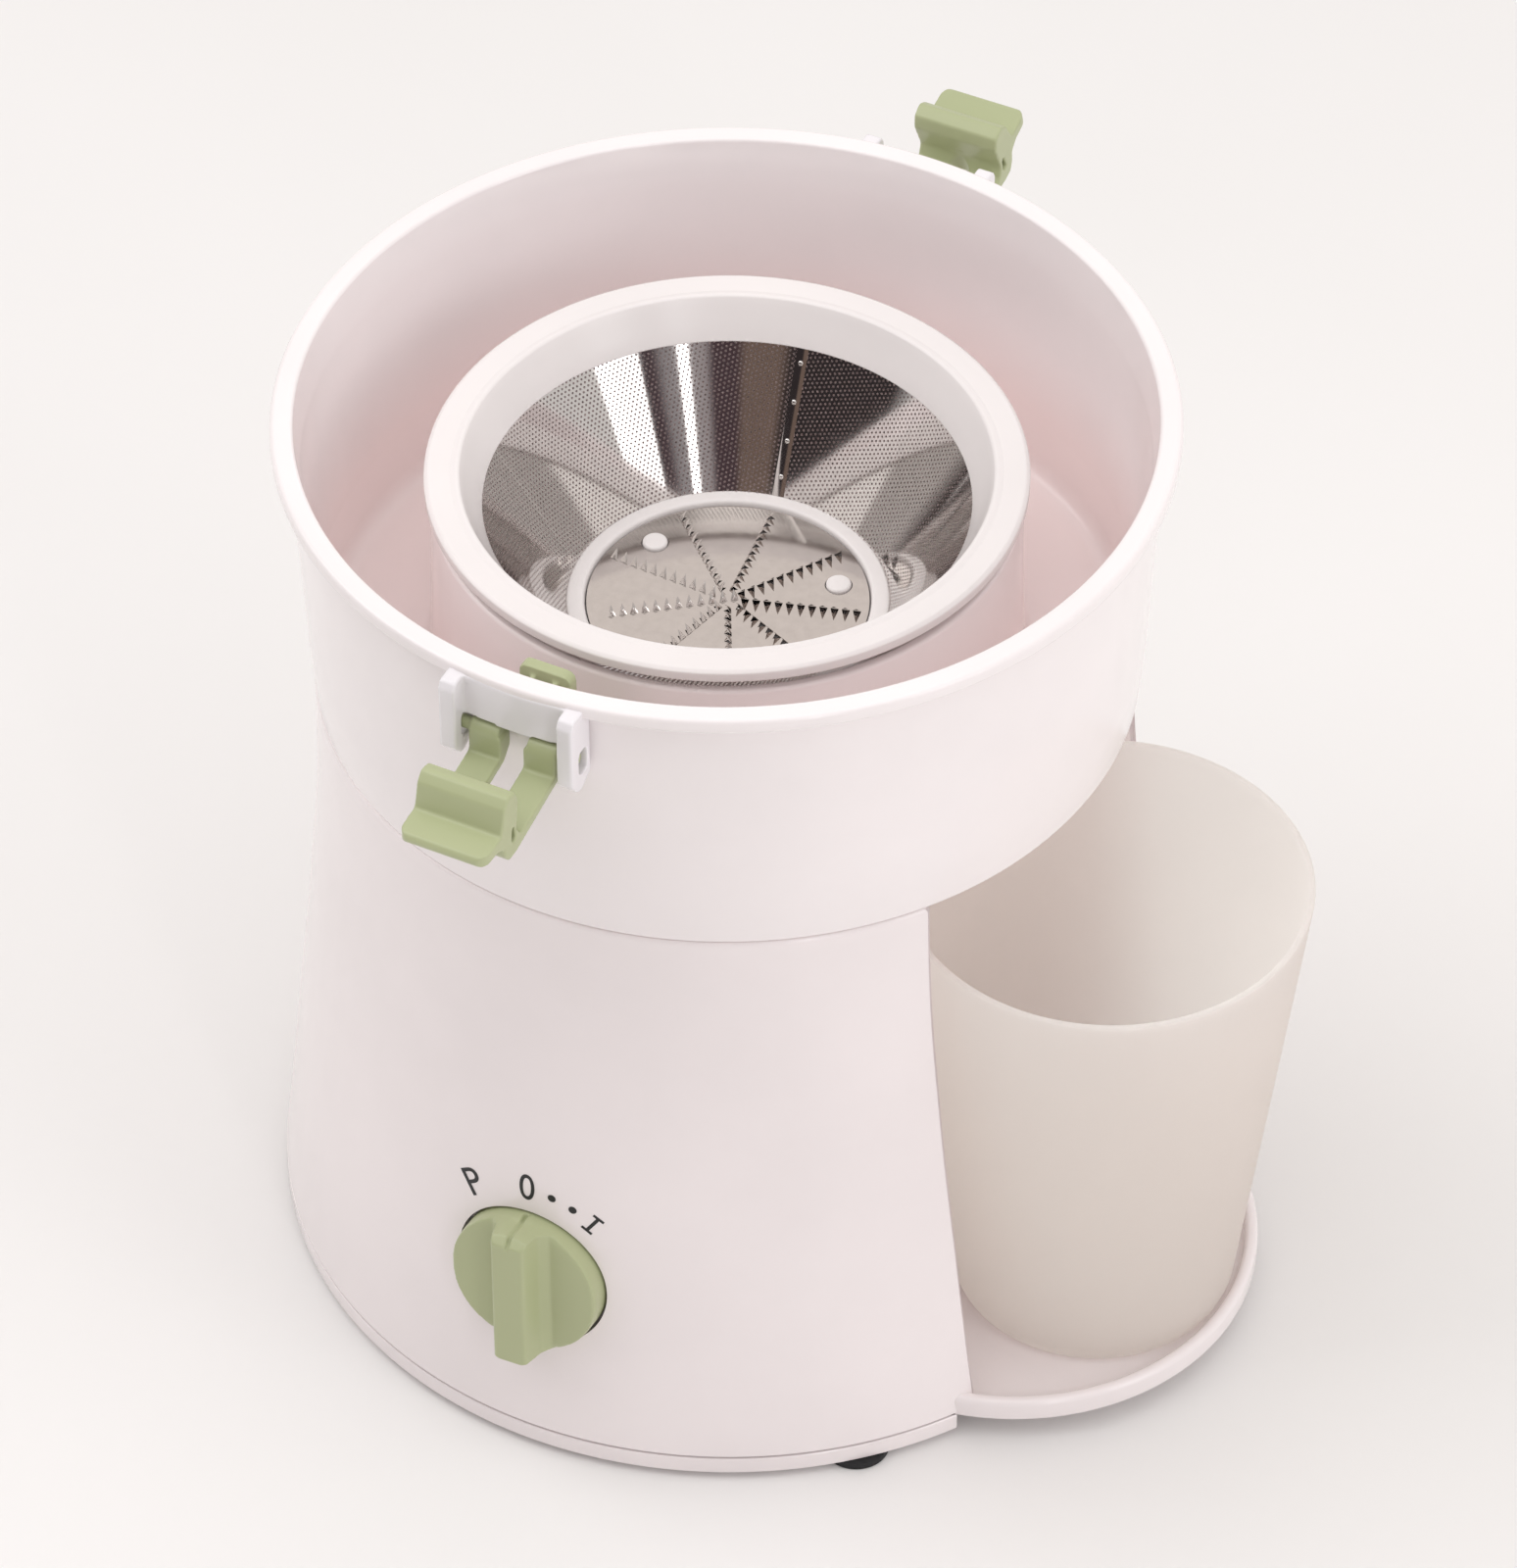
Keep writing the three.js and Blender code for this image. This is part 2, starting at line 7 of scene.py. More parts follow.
import bmesh
import bpy
from mathutils import Matrix, Vector
from mathutils.geometry import delaunay_2d_cdt
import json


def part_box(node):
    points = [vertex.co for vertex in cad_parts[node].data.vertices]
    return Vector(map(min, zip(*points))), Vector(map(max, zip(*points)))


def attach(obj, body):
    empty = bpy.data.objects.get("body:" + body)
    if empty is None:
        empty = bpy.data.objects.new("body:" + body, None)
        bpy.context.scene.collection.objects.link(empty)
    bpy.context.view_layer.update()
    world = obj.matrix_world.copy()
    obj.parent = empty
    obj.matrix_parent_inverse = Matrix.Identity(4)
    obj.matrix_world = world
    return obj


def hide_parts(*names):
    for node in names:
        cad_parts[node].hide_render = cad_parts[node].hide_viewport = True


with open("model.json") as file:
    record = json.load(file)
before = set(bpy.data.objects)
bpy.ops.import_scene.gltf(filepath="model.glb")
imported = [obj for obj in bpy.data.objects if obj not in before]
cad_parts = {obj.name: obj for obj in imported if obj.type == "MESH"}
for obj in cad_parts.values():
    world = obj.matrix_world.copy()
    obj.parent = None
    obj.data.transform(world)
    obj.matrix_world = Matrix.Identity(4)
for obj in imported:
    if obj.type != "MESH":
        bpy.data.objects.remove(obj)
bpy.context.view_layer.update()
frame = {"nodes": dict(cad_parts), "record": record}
MM = 0.001

# ------------------------------------------------------------------ sizes, mm round the basket axis
shaft_low, shaft_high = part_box("rotor_shaft")
AXIS = (shaft_low + shaft_high) / 2  # the basket's spin axis in the frame


def span(node):
    """Lowest and highest corner of a CAD node in mm, seen from the basket axis."""
    low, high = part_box(node)
    shift = Vector((AXIS.x, AXIS.y, 0))
    return (low - shift) / MM, (high - shift) / MM


RIM_Z = span("bowl")[1].z
SEAM_Z = 160.4  # where the bowl stands on the housing
HOUSING_Z = 7.4  # where the housing stands on its bottom cover
WALL = 2.6
# the housing's flared side as (radius, height)
SIDE = [(106.7, 8.0), (104.9, 23), (101.5, 56), (98.6, 82), (96.5, 104), (95.1, 119.5), (94.3, 132),
        (93.8, 148), (93.75, 160.4)]
cup_low, cup_high = span("cup")
CUP_X = (cup_low.x + cup_high.x) / 2
BAY_X, BAY_CORNER = 98.0, 1.2  # axis of the cup's bay, and the rounding of its edges
BAY_R, BAY_FLARE = 54.6, 2.4  # radius at the bottom, and what it gains up to the seam
CUP_Y = TRAY_Y = -2.8  # the cup and its tray stand a little forward of the axis
TRAY_X, TRAY_R, TRAY_Z = 75.0, 58.5, 8.6
KNOB_Y, KNOB_Z, KNOB_R = -101.85, 52.3, 18.3
KNOB_TILT, KNOB_TURN = 5.9, 3.2  # degrees: the panel leans back, and the bar stands past upright
MARK_R = 25.4  # circle that the dial's printing stands on
PIVOT_Y, PIVOT_Z = 99.5, 217.5  # the clips' pins, front and back alike
BACK_TILT = 19.0  # degrees that the back clip stands higher than the front one
FOOT_ANGLES, FOOT_R = [46.6, 133.4, 226.6, 313.4], 96
PEEPING_R = 100.2  # the front right pad stands further out and peeps out from under the cover
COVER_SCREWS = [(37, 75), (-37, 75), (-37, -75), (37, -75)]
VENTS, FIRST_VENT, VENT_STEP = 10, 45, 30  # the cover's slots, and their angles in degrees
STAKE_R, STAKE_ANGLES = 25.4, [37.4, 157.4, 277.4]  # heat stakes that hold the grater disc
LEVER_Y = -85.0
CAMERA_ANGLES = (26.8, 43.32, -0.24)  # degrees: azimuth from the dial to the cup, elevation, roll
CAMERA_AIM, CAMERA_DISTANCE = Vector((0.0314, -0.0473, 0.1732)), 1.7268  # m, from the basket axis


# ------------------------------------------------------------------ outlines
def rounded(corners, steps=6):
    """A closed outline whose corners (a, b, radius) are turned into arcs."""
    out = []
    for i, (a, b, radius) in enumerate(corners):
        here = Vector((a, b))
        back = Vector(corners[i - 1][:2]) - here
        ahead = Vector(corners[(i + 1) % len(corners)][:2]) - here
        half = back.angle(ahead) / 2
        if radius <= 0 or half > math.radians(89):
            out.append((a, b))
            continue
        reach = min(radius / math.tan(half), 0.48 * back.length, 0.48 * ahead.length)
        radius = reach * math.tan(half)
        back.normalize()
        ahead.normalize()
        centre = here + (back + ahead).normalized() * (radius / math.sin(half))
        start, end = here + back * reach - centre, here + ahead * reach - centre
        turn = start.angle_signed(end)
        for k in range(steps + 1):
            t = -turn * k / steps
            out.append((centre.x + start.x * math.cos(t) - start.y * math.sin(t),
                        centre.y + start.x * math.sin(t) + start.y * math.cos(t)))
    return out


def polar(radius, degrees):
    """A point at a radius and an angle."""
    a = math.radians(degrees)
    return radius * math.cos(a), radius * math.sin(a)


def arc(radius, start, end, steps, x=0.0, y=0.0):
    """Points along part of a circle, both ends with them."""
    return [(x + p, y + q) for p, q in
            (polar(radius, start + (end - start) * k / steps) for k in range(steps + 1))]


# ------------------------------------------------------------------ solids
def linked(name, data):
    """A new object in the scene."""
    obj = bpy.data.objects.new(name, data)
    bpy.context.scene.collection.objects.link(obj)
    return obj


def raw(name, verts, faces):
    """A mesh object in mm, its faces turned outwards."""
    mesh = bpy.data.meshes.new(name)
    mesh.from_pydata([tuple(v) for v in verts], [], faces)
    bm = bmesh.new()
    bm.from_mesh(mesh)
    bmesh.ops.remove_doubles(bm, verts=bm.verts, dist=1e-5)
    bmesh.ops.recalc_face_normals(bm, faces=bm.faces)
    bm.to_mesh(mesh)
    bm.free()
    return linked(name, mesh)


def lathe(name, profile, segments=160, x=0.0, y=0.0):
    """An outline of (radius, height) turned about an upright axis.

    It closes on itself or on the axis."""
    verts, rows, faces = [], [], []
    for radius, z in profile:
        count = 1 if radius < 1e-9 else segments
        rows.append(range(len(verts), len(verts) + count))
        around = (polar(radius, 360 * k / segments) for k in range(count))
        verts += [(x + p, y + q, z) for p, q in around]
    pairs = list(zip(rows, rows[1:]))
    if profile[0][0] > 1e-9:
        pairs.append((rows[-1], rows[0]))
    for low, high in pairs:
        for k in range(segments):
            ring = [low[k % len(low)], low[(k + 1) % len(low)],
                    high[(k + 1) % len(high)], high[k % len(high)]]
            corners = list(dict.fromkeys(ring))
            if len(corners) > 2:
                faces.append(corners)
    return raw(name, verts, faces)


def prism(name, outline, low, high, along="z"):
    """A closed outline carried along an axis: (x, y) along z, (x, z) along y or (y, z) along x."""
    put = {"z": lambda a, b, c: (a, b, c), "y": lambda a, b, c: (a, c, b),
           "x": lambda a, b, c: (c, a, b)}[along]
    n = len(outline)
    verts = [put(a, b, low) for a, b in outline] + [put(a, b, high) for a, b in outline]
    faces = [list(range(n)), list(range(2 * n - 1, n - 1, -1))]
    faces += [[k, (k + 1) % n, n + (k + 1) % n, n + k] for k in range(n)]
    return raw(name, verts, faces)


def block(name, x, y, z):
    """A box between two values on each axis."""
    return prism(name, [(x[0], y[0]), (x[1], y[0]), (x[1], y[1]), (x[0], y[1])], *z)


def loft(name, rings):
    """A closed skin through rings of equal length, with its first and last ring filled."""
    n = len(rings[0])
    verts = [p for ring in rings for p in ring]
    faces = [list(range(n)), list(range(len(verts) - 1, len(verts) - n - 1, -1))]
    for r in range(len(rings) - 1):
        low, high = r * n, (r + 1) * n
        faces += [[low + k, low + (k + 1) % n, high + (k + 1) % n, high + k] for k in range(n)]
    return raw(name, verts, faces)


def baked(obj):
    """The mesh of an object as its modifiers leave it."""
    bpy.context.view_layer.update()
    graph = bpy.context.evaluated_depsgraph_get()
    return bpy.data.meshes.new_from_object(obj.evaluated_get(graph), depsgraph=graph)


def apply_modifiers(obj):
    mesh = baked(obj)
    obj.modifiers.clear()
    old, obj.data = obj.data, mesh
    bpy.data.meshes.remove(old)
    return obj


def combine(body, how, *tools):
    """Booleans body with each tool in turn; the tools are used up."""
    for tool in tools:
        step = body.modifiers.new(how, "BOOLEAN")
        step.operation, step.solver, step.object = how, "MANIFOLD", tool
    apply_modifiers(body)
    for tool in tools:
        bpy.data.objects.remove(tool)
    return body


def cut(body, *tools):
    return combine(body, "DIFFERENCE", *tools)


def join(body, *tools):
    return combine(body, "UNION", *tools)


def moulded(obj, grain=0.35, passes=5):
    """Rounds every edge of a solid the way a moulded part has them."""
    grid = obj.modifiers.new("grid", "REMESH")
    grid.mode, grid.voxel_size, grid.use_smooth_shade = "VOXEL", grain, True
    soften = obj.modifiers.new("soften", "SMOOTH")
    soften.factor, soften.iterations = 0.5, passes
    return apply_modifiers(obj)


def turned(obj, matrix):
    """Carries a shape's own points through a matrix."""
    obj.data.transform(matrix)
    return obj


# ------------------------------------------------------------------ materials
def nodes_of(name):
    """A new material, its node tree and its shader."""
    mat = bpy.data.materials.new(name)
    mat.use_nodes = True
    tree = mat.node_tree
    return mat, tree, tree.nodes["Principled BSDF"]


def noise(tree, scale, detail):
    """Solid noise in object space, in cycles per metre."""
    where = tree.nodes.new("ShaderNodeTexCoord")
    field = tree.nodes.new("ShaderNodeTexNoise")
    field.inputs["Scale"].default_value = scale
    field.inputs["Detail"].default_value = detail
    tree.links.new(where.outputs["Object"], field.inputs["Vector"])
    return field.outputs["Fac"]


def ramp(tree, factor, stops):
    """Colours a value by stops of (position, colour)."""
    node = tree.nodes.new("ShaderNodeValToRGB")
    for end, (at, colour) in zip(node.color_ramp.elements, (stops[0], stops[-1])):
        end.position, end.color = at, (*colour, 1)
    for at, colour in stops[1:-1]:
        node.color_ramp.elements.new(at).color = (*colour, 1)
    tree.links.new(factor, node.inputs["Fac"])
    return node.outputs["Color"]


def spread(tree, factor, low, high):
    """Carries a value of 0 to 1 to another range."""
    node = tree.nodes.new("ShaderNodeMapRange")
    node.inputs["To Min"].default_value, node.inputs["To Max"].default_value = low, high
    tree.links.new(factor, node.inputs["Value"])
    return node.outputs["Result"]


def bump(tree, shader, height, strength, distance):
    """Fine relief of a surface; the distance is in metres."""
    node = tree.nodes.new("ShaderNodeBump")
    node.inputs["Strength"].default_value = strength
    node.inputs["Distance"].default_value = distance
    tree.links.new(height, node.inputs["Height"])
    tree.links.new(node.outputs["Normal"], shader.inputs["Normal"])


def plastic(name, colour, rough, grain=900, depth=0.00002, coat=0.0):
    """Moulded plastic: a faint unevenness of colour and gloss, and the tool's fine surface."""
    mat, tree, shader = nodes_of(name)
    cloudy = noise(tree, 18, 4)
    darker = tuple(c * 0.965 for c in colour)
    lighter = tuple(min(1.0, c * 1.02) for c in colour)
    tree.links.new(ramp(tree, cloudy, [(0.3, darker), (0.7, lighter)]), shader.inputs["Base Color"])
    tree.links.new(spread(tree, noise(tree, 60, 5), *rough), shader.inputs["Roughness"])
    bump(tree, shader, noise(tree, grain, 2), 0.25, depth)
    shader.inputs["IOR"].default_value = 1.5
    shader.inputs["Coat Weight"].default_value = coat
    shader.inputs["Coat Roughness"].default_value = 0.08
    return mat


PAINTED_SHADE_R = (0.0935, 0.0925)  # m from the basket axis: outside and inside of the bowl's wall, across which the painted shade comes in
PAINTED_SHADE_Z = (0.234, 0.182)  # m over the table: the painted shade comes in from the rim down to here


def paint_trough_shade(mat, colour):
    """Painted shade: a deeper pink painted into the bowl's trough below the rim, where its wall is
    lit through and the light bounces round inside.
    """
    tree = mat.node_tree
    shader = tree.nodes["Principled BSDF"]
    pale = shader.inputs["Base Color"].links[0].from_socket
    where = tree.nodes.new("ShaderNodeTexCoord").outputs["Object"]
    apart = tree.nodes.new("ShaderNodeSeparateXYZ")
    tree.links.new(where, apart.inputs["Vector"])

    def vector(how, source, *values):
        node = tree.nodes.new("ShaderNodeVectorMath")
        node.operation = how
        for value in values:
            node.inputs[1].default_value = value
        tree.links.new(source, node.inputs[0])
        return node

    def mask(source, ends):
        node = tree.nodes.new("ShaderNodeMapRange")
        node.inputs["From Min"].default_value, node.inputs["From Max"].default_value = ends
        tree.links.new(source, node.inputs["Value"])
        return node.outputs["Result"]

    from_axis = vector("SUBTRACT", where, (AXIS.x, AXIS.y, 0)).outputs["Vector"]
    level = vector("MULTIPLY", from_axis, (1, 1, 0)).outputs["Vector"]
    radius = vector("LENGTH", level).outputs["Value"]
    both = tree.nodes.new("ShaderNodeMath")
    both.operation = "MULTIPLY"
    tree.links.new(mask(radius, PAINTED_SHADE_R), both.inputs[0])
    tree.links.new(mask(apart.outputs["Z"], PAINTED_SHADE_Z), both.inputs[1])
    # painted shade: inside the wall and below the rim the base colour goes over to the deeper pink
    tree.links.new(mixed(tree, both.outputs["Value"], pale, colour), shader.inputs["Base Color"])
    return mat


def metal(name, colour, rough, grain=400, depth=0.000004):
    """Bare metal with faint streaks in its colour and gloss."""
    mat, tree, shader = nodes_of(name)
    shader.inputs["Metallic"].default_value = 1.0
    streaks = noise(tree, grain, 4)
    tree.links.new(ramp(tree, streaks, [(0.3, tuple(c * 0.93 for c in colour)), (0.7, colour)]),
                   shader.inputs["Base Color"])
    tree.links.new(spread(tree, streaks, *rough), shader.inputs["Roughness"])
    bump(tree, shader, streaks, 0.3, depth)
    return mat


def rubber(name, colour):
    """Dull and speckled: rubber, and pressed carbon."""
    mat, tree, shader = nodes_of(name)
    speckle = noise(tree, 700, 6)
    tree.links.new(ramp(tree, speckle, [(0.35, colour), (0.8, tuple(c * 1.8 for c in colour))]),
                   shader.inputs["Base Color"])
    tree.links.new(spread(tree, speckle, 0.7, 0.9), shader.inputs["Roughness"])
    bump(tree, shader, speckle, 0.4, 0.00005)
    return mat


def striped(name, colour, scale, distortion, dark, stops, rough, metallic):
    """Bands along Z. Returns the material with its tree, shader and bands."""
    mat, tree, shader = nodes_of(name)
    where = tree.nodes.new("ShaderNodeTexCoord")
    bands = tree.nodes.new("ShaderNodeTexWave")
    bands.bands_direction = "Z"
    bands.inputs["Scale"].default_value = scale
    bands.inputs["Distortion"].default_value = distortion
    tree.links.new(where.outputs["Object"], bands.inputs["Vector"])
    shade = tuple(c * dark for c in colour)
    tree.links.new(ramp(tree, bands.outputs["Fac"], [(stops[0], shade), (stops[1], colour)]),
                   shader.inputs["Base Color"])
    tree.links.new(spread(tree, bands.outputs["Fac"], *rough), shader.inputs["Roughness"])
    shader.inputs["Metallic"].default_value = metallic
    return mat, tree, shader, bands.outputs["Fac"]


def winding(name, colour):
    """Enamelled wire laid side by side."""
    mat, tree, shader, wires = striped(name, colour, 400, 0.6, 0.45, (0.1, 0.7), (0.45, 0.25), 0.75)
    bump(tree, shader, wires, 0.6, 0.0002)
    return mat


def laminated(name, colour):
    """Thin steel sheets stacked along Z."""
    return striped(name, colour, 320, 0.0, 0.5, (0.0, 0.5), (0.55, 0.35), 0.9)[0]


def frosted(name, colour):
    """Milky plastic of the cup: light that falls on one side of the wall comes out of the other."""
    mat, tree, shader = nodes_of(name)
    cloudy = noise(tree, 25, 4)
    milk = ramp(tree, cloudy, [(0.3, tuple(c * 0.97 for c in colour)), (0.7, colour)])
    tree.links.new(milk, shader.inputs["Base Color"])
    tree.links.new(spread(tree, noise(tree, 90, 5), 0.42, 0.52), shader.inputs["Roughness"])
    shader.inputs["IOR"].default_value = 1.4
    bump(tree, shader, noise(tree, 1500, 3), 0.3, 0.00003)
    return lit_through(mat, colour, 0.82)


def lit_through(mat, colour, share):
    """Lets a share of the light that falls on one side of a wall come out of the other."""
    tree = mat.node_tree
    through = tree.nodes.new("ShaderNodeBsdfTranslucent")
    through.inputs["Color"].default_value = (*colour, 1)
    blend = tree.nodes.new("ShaderNodeMixShader")
    blend.inputs["Fac"].default_value = share
    tree.links.new(tree.nodes["Principled BSDF"].outputs["BSDF"], blend.inputs[1])
    tree.links.new(through.outputs["BSDF"], blend.inputs[2])
    tree.links.new(blend.outputs["Shader"], tree.nodes["Material Output"].inputs["Surface"])
    return mat


def ink(name, colour):
    """Printing on the housing, a little uneven."""
    mat, tree, shader = nodes_of(name)
    worn = tuple(c * 1.5 for c in colour)
    tree.links.new(ramp(tree, noise(tree, 900, 2), [(0.3, colour), (0.8, worn)]),
                   shader.inputs["Base Color"])
    shader.inputs["Roughness"].default_value = 0.45
    return mat


def mixed(tree, factor, first, second):
    """Goes from one colour to the other by a factor; each is a colour or a socket."""
    node = tree.nodes.new("ShaderNodeMix")
    node.data_type = "RGBA"
    tree.links.new(factor, node.inputs["Factor"])
    for key, value in (("A", first), ("B", second)):
        if isinstance(value, tuple):
            node.inputs[key].default_value = (*value, 1)
        else:
            tree.links.new(value, node.inputs[key])
    return node.outputs["Result"]


LOOK = {
    "shell": plastic("shell_plastic", (0.885, 0.82, 0.825), (0.16, 0.22), coat=0.3),
    # the bowl's second colour is painted shade, the deeper pink inside its trough
    "bowl": paint_trough_shade(plastic("bowl_plastic", (0.915, 0.86, 0.865), (0.16, 0.22), coat=0.3),
                     (0.99, 0.87, 0.86)),
    "mount": plastic("mount_plastic", (0.85, 0.82, 0.85), (0.16, 0.22), coat=0.3),
    "green": plastic("green_plastic", (0.44, 0.475, 0.275), (0.3, 0.38), grain=1200, depth=0.00003),
    "cup": frosted("cup_plastic", (0.985, 0.965, 0.945)),
    "basket": plastic("basket_plastic", (0.84, 0.795, 0.79), (0.2, 0.28)),
    "steel": metal("sieve_steel", (0.72, 0.69, 0.67), (0.05, 0.09)),
    "disc": metal("grater_steel", (0.59, 0.545, 0.52), (0.06, 0.1)),
    "rubber": rubber("foot_rubber", (0.012, 0.012, 0.013)),
    "zinc": metal("zinc_plate", (0.55, 0.55, 0.57), (0.3, 0.5), grain=900, depth=0.00001),
    "iron": laminated("stacked_iron", (0.22, 0.22, 0.23)),
    "copper": winding("copper_wire", (0.62, 0.27, 0.1)),
    "black": plastic("black_plastic", (0.016, 0.016, 0.018), (0.4, 0.55), depth=0.00004),
    "amber": plastic("phenolic", (0.3, 0.16, 0.05), (0.4, 0.5)),
    "carbon": rubber("pressed_carbon", (0.02, 0.02, 0.021)),
    "brass": metal("turned_brass", (0.62, 0.43, 0.17), (0.25, 0.4)),
}
INK = ink("dial_ink", (0.008, 0.008, 0.009))


# ------------------------------------------------------------------ finished pieces
INTO_FRAME = Matrix.Translation((AXIS.x, AXIS.y, 0)) @ Matrix.Scale(MM, 4)


def piece(obj, body, slot, stands_for=(), look=None, crease=32):
    """Carries a shape into the frame, shades it and lets it move with its body."""
    obj.data.transform(INTO_FRAME)
    obj.data.shade_smooth()
    obj.data.set_sharp_from_angle(angle=math.radians(crease))
    obj.data.materials.clear()
    obj.data.materials.append(look or LOOK[slot])
    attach(obj, body)
    if stands_for:
        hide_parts(*stands_for)
    return obj


# ------------------------------------------------------------------ motor housing
def side_radius(z):
    """Radius of the housing's side at a height: the flared outline, smoothed."""
    for (r0, z0), (r1, z1) in zip(SIDE, SIDE[1:]):
        if z <= z1:
            break
    i = SIDE.index((r0, z0))

    def slope(k):
        a, b = SIDE[max(0, k - 1)], SIDE[min(len(SIDE) - 1, k + 1)]
        return (b[0] - a[0]) / (b[1] - a[1])

    h, t = z1 - z0, (z - z0) / (z1 - z0)
    return ((2 * t ** 3 - 3 * t ** 2 + 1) * r0 + (t ** 3 - 2 * t ** 2 + t) * h * slope(i)
            + (3 * t ** 2 - 2 * t ** 3) * r1 + (t ** 3 - t ** 2) * h * slope(i + 1))


def bay_radius(z):
    """Radius of the cup's bay, which opens a little towards the top."""
    return BAY_R + BAY_FLARE * (z - HOUSING_Z) / (SEAM_Z - HOUSING_Z)


def bay_ring(radius, bay, corner, z, outer=150, inner=56, bend=6):
    """The housing's outline at one height: a circle with the cup's bay bitten out of it."""
    r, b = radius - corner, bay + corner
    x = (r * r - b * b + BAY_X * BAY_X) / (2 * BAY_X)
    y = math.sqrt(r * r - x * x)
    edge = math.degrees(math.atan2(y, x))
    into_bay = math.degrees(math.atan2(y, x - BAY_X))
    upper = arc(corner, into_bay + 180, edge, bend, x, y)
    outside = arc(radius, edge, 360 - edge, outer)
    lower = arc(corner, 360 - edge, 180 - into_bay, bend, x, -y)
    bay_wall = arc(bay, -into_bay, into_bay - 360, inner, BAY_X, 0)
    return [(px, py, z) for px, py in upper[:-1] + outside[:-1] + lower[:-1] + bay_wall[:-1]]


# the dial's pocket and knob are drawn upright and then laid on the leaning panel
ON_PANEL = (Matrix.Translation((0, KNOB_Y, KNOB_Z))
            @ Matrix.Rotation(math.radians(90 - KNOB_TILT), 4, "X"))
SHAFT_HOLE_R = 12.3
LEVER_SLOT_Z = (160, 180)  # a cutter's reach, past both faces of the bowl's floor


def motor_housing():
    """Flared shell with the cup's bay, the deck, the dial's pocket and the boss round the shaft."""
    start, edge, levels = 0.5, 1.2, 44  # chamfer at the foot, rounding at the deck, steps between
    heights = [HOUSING_Z + start + k * (SEAM_Z - edge - HOUSING_Z - start) / levels
               for k in range(levels + 1)]
    foot_bay = bay_radius(HOUSING_Z) + 0.4
    outer = [bay_ring(side_radius(HOUSING_Z) - start, foot_bay, BAY_CORNER, HOUSING_Z)]
    outer += [bay_ring(side_radius(z), bay_radius(z), BAY_CORNER, z) for z in heights]
    for a in (0.4, 0.8, 1.2, math.pi / 2):
        back = 1.1 * (1 - math.cos(a))
        outer.append(bay_ring(side_radius(SEAM_Z) - back, bay_radius(SEAM_Z) + back, BAY_CORNER,
                              SEAM_Z - edge + edge * math.sin(a)))
    shell = loft("housing_shell", outer)
    inside = [bay_ring(side_radius(max(z, HOUSING_Z)) - WALL, bay_radius(z) + WALL, 0.6, z)
              for z in [HOUSING_Z - 4] + heights[:-1:4] + [SEAM_Z - WALL]]
    wall_r, pocket_r = KNOB_R + 3.2, KNOB_R + 0.7
    dial_wall = lathe("dial_cup", [(0, -9.4), (wall_r, -9.4), (wall_r, -1), (0, -1)], 96)
    hollow = cut(loft("housing_hollow", inside), turned(dial_wall, ON_PANEL))
    pocket = lathe("dial_pocket", [(0, -6.8), (pocket_r, -6.8), (pocket_r, 12), (0, 12)], 128)
    hole = [(0, 140), (SHAFT_HOLE_R, 140), (SHAFT_HOLE_R, 170), (0, 170)]
    shell = cut(shell, hollow, turned(pocket, ON_PANEL), lathe("shaft_hole", hole, 64),
                block("deck_slot", (-5.2, 5.2), (LEVER_Y - 2.6, LEVER_Y + 2.6), (150, 170)))
    piece(shell, "base", "shell", ["motor_housing"])
    boss = rounded([(SHAFT_HOLE_R, 157.9, 0), (17, 157.9, 0), (17, 166.8, 1.2),
                    (SHAFT_HOLE_R, 166.8, 0.6)])
    piece(lathe("deck_boss", boss, 96), "base", "shell")


def tray():
    """Round tray with a raised lip, on which the cup stands."""
    lip = rounded([(0, 6, 0), (57.4, 6, 0), (TRAY_R, 7.2, 1), (TRAY_R, 12.7, 1.4),
                   (55.6, 12.7, 1.3), (55.2, TRAY_Z, 1.6), (0, TRAY_Z, 0)])
    piece(lathe("cup_tray", lip, 200, TRAY_X, TRAY_Y), "base", "shell")


def bottom_cover():
    """Plate that closes the housing, with vents, screw wells and four rubber feet."""
    bay, top = bay_radius(0) + WALL, HOUSING_Z - 0.4
    levels = [(105.0, 1.7), (106.0, 1.9), (106.6, 2.5), (106.7, 3.2), (106.7, HOUSING_Z - 0.7),
              (106.5, top), (104.4, top)]
    plate = loft("cover_plate", [bay_ring(r, bay, 2.4, z) for r, z in levels])
    slots = []
    for k in range(VENTS):
        vent = rounded([(20, -1.9, 1.8), (44, -1.9, 1.8), (44, 1.9, 1.8), (20, 1.9, 1.8)])
        turn = Matrix.Rotation(math.radians(FIRST_VENT + VENT_STEP * k), 4, "Z")
        slots.append(turned(prism(f"vent_{k}", vent, 0, 9), turn))
    well = [(0, 0), (4.4, 0), (4.4, 5.7), (0, 5.7)]
    slots += [lathe(f"screw_well_{x}_{y}", well, 32, x, y) for x, y in COVER_SCREWS]
    piece(cut(plate, *slots), "base", "shell", ["bottom_cover"])
    for k, angle in enumerate(FOOT_ANGLES, 1):
        boss = rounded([(0, 1.5, 0), (8.6, 1.5, 0.5), (9.4, 3.4, 0), (0, 3.4, 0)])
        piece(lathe(f"foot_boss_{k}", boss, 64, *polar(FOOT_R, angle)), "base", "shell")
        pad = rounded([(0, 0, 0), (7.9, 0, 0.5), (7.9, 2.0, 0.2), (0, 2.0, 0)])
        at = polar(PEEPING_R if k == 4 else FOOT_R, angle)
        piece(lathe(f"foot_pad_{k}", pad, 64, *at), "base", "rubber", [f"foot_{k}"])


INLET_Y, INLET_Z, INLET_LEAN = 95.2, 18.8, -83.2  # on the back, square to the wall there


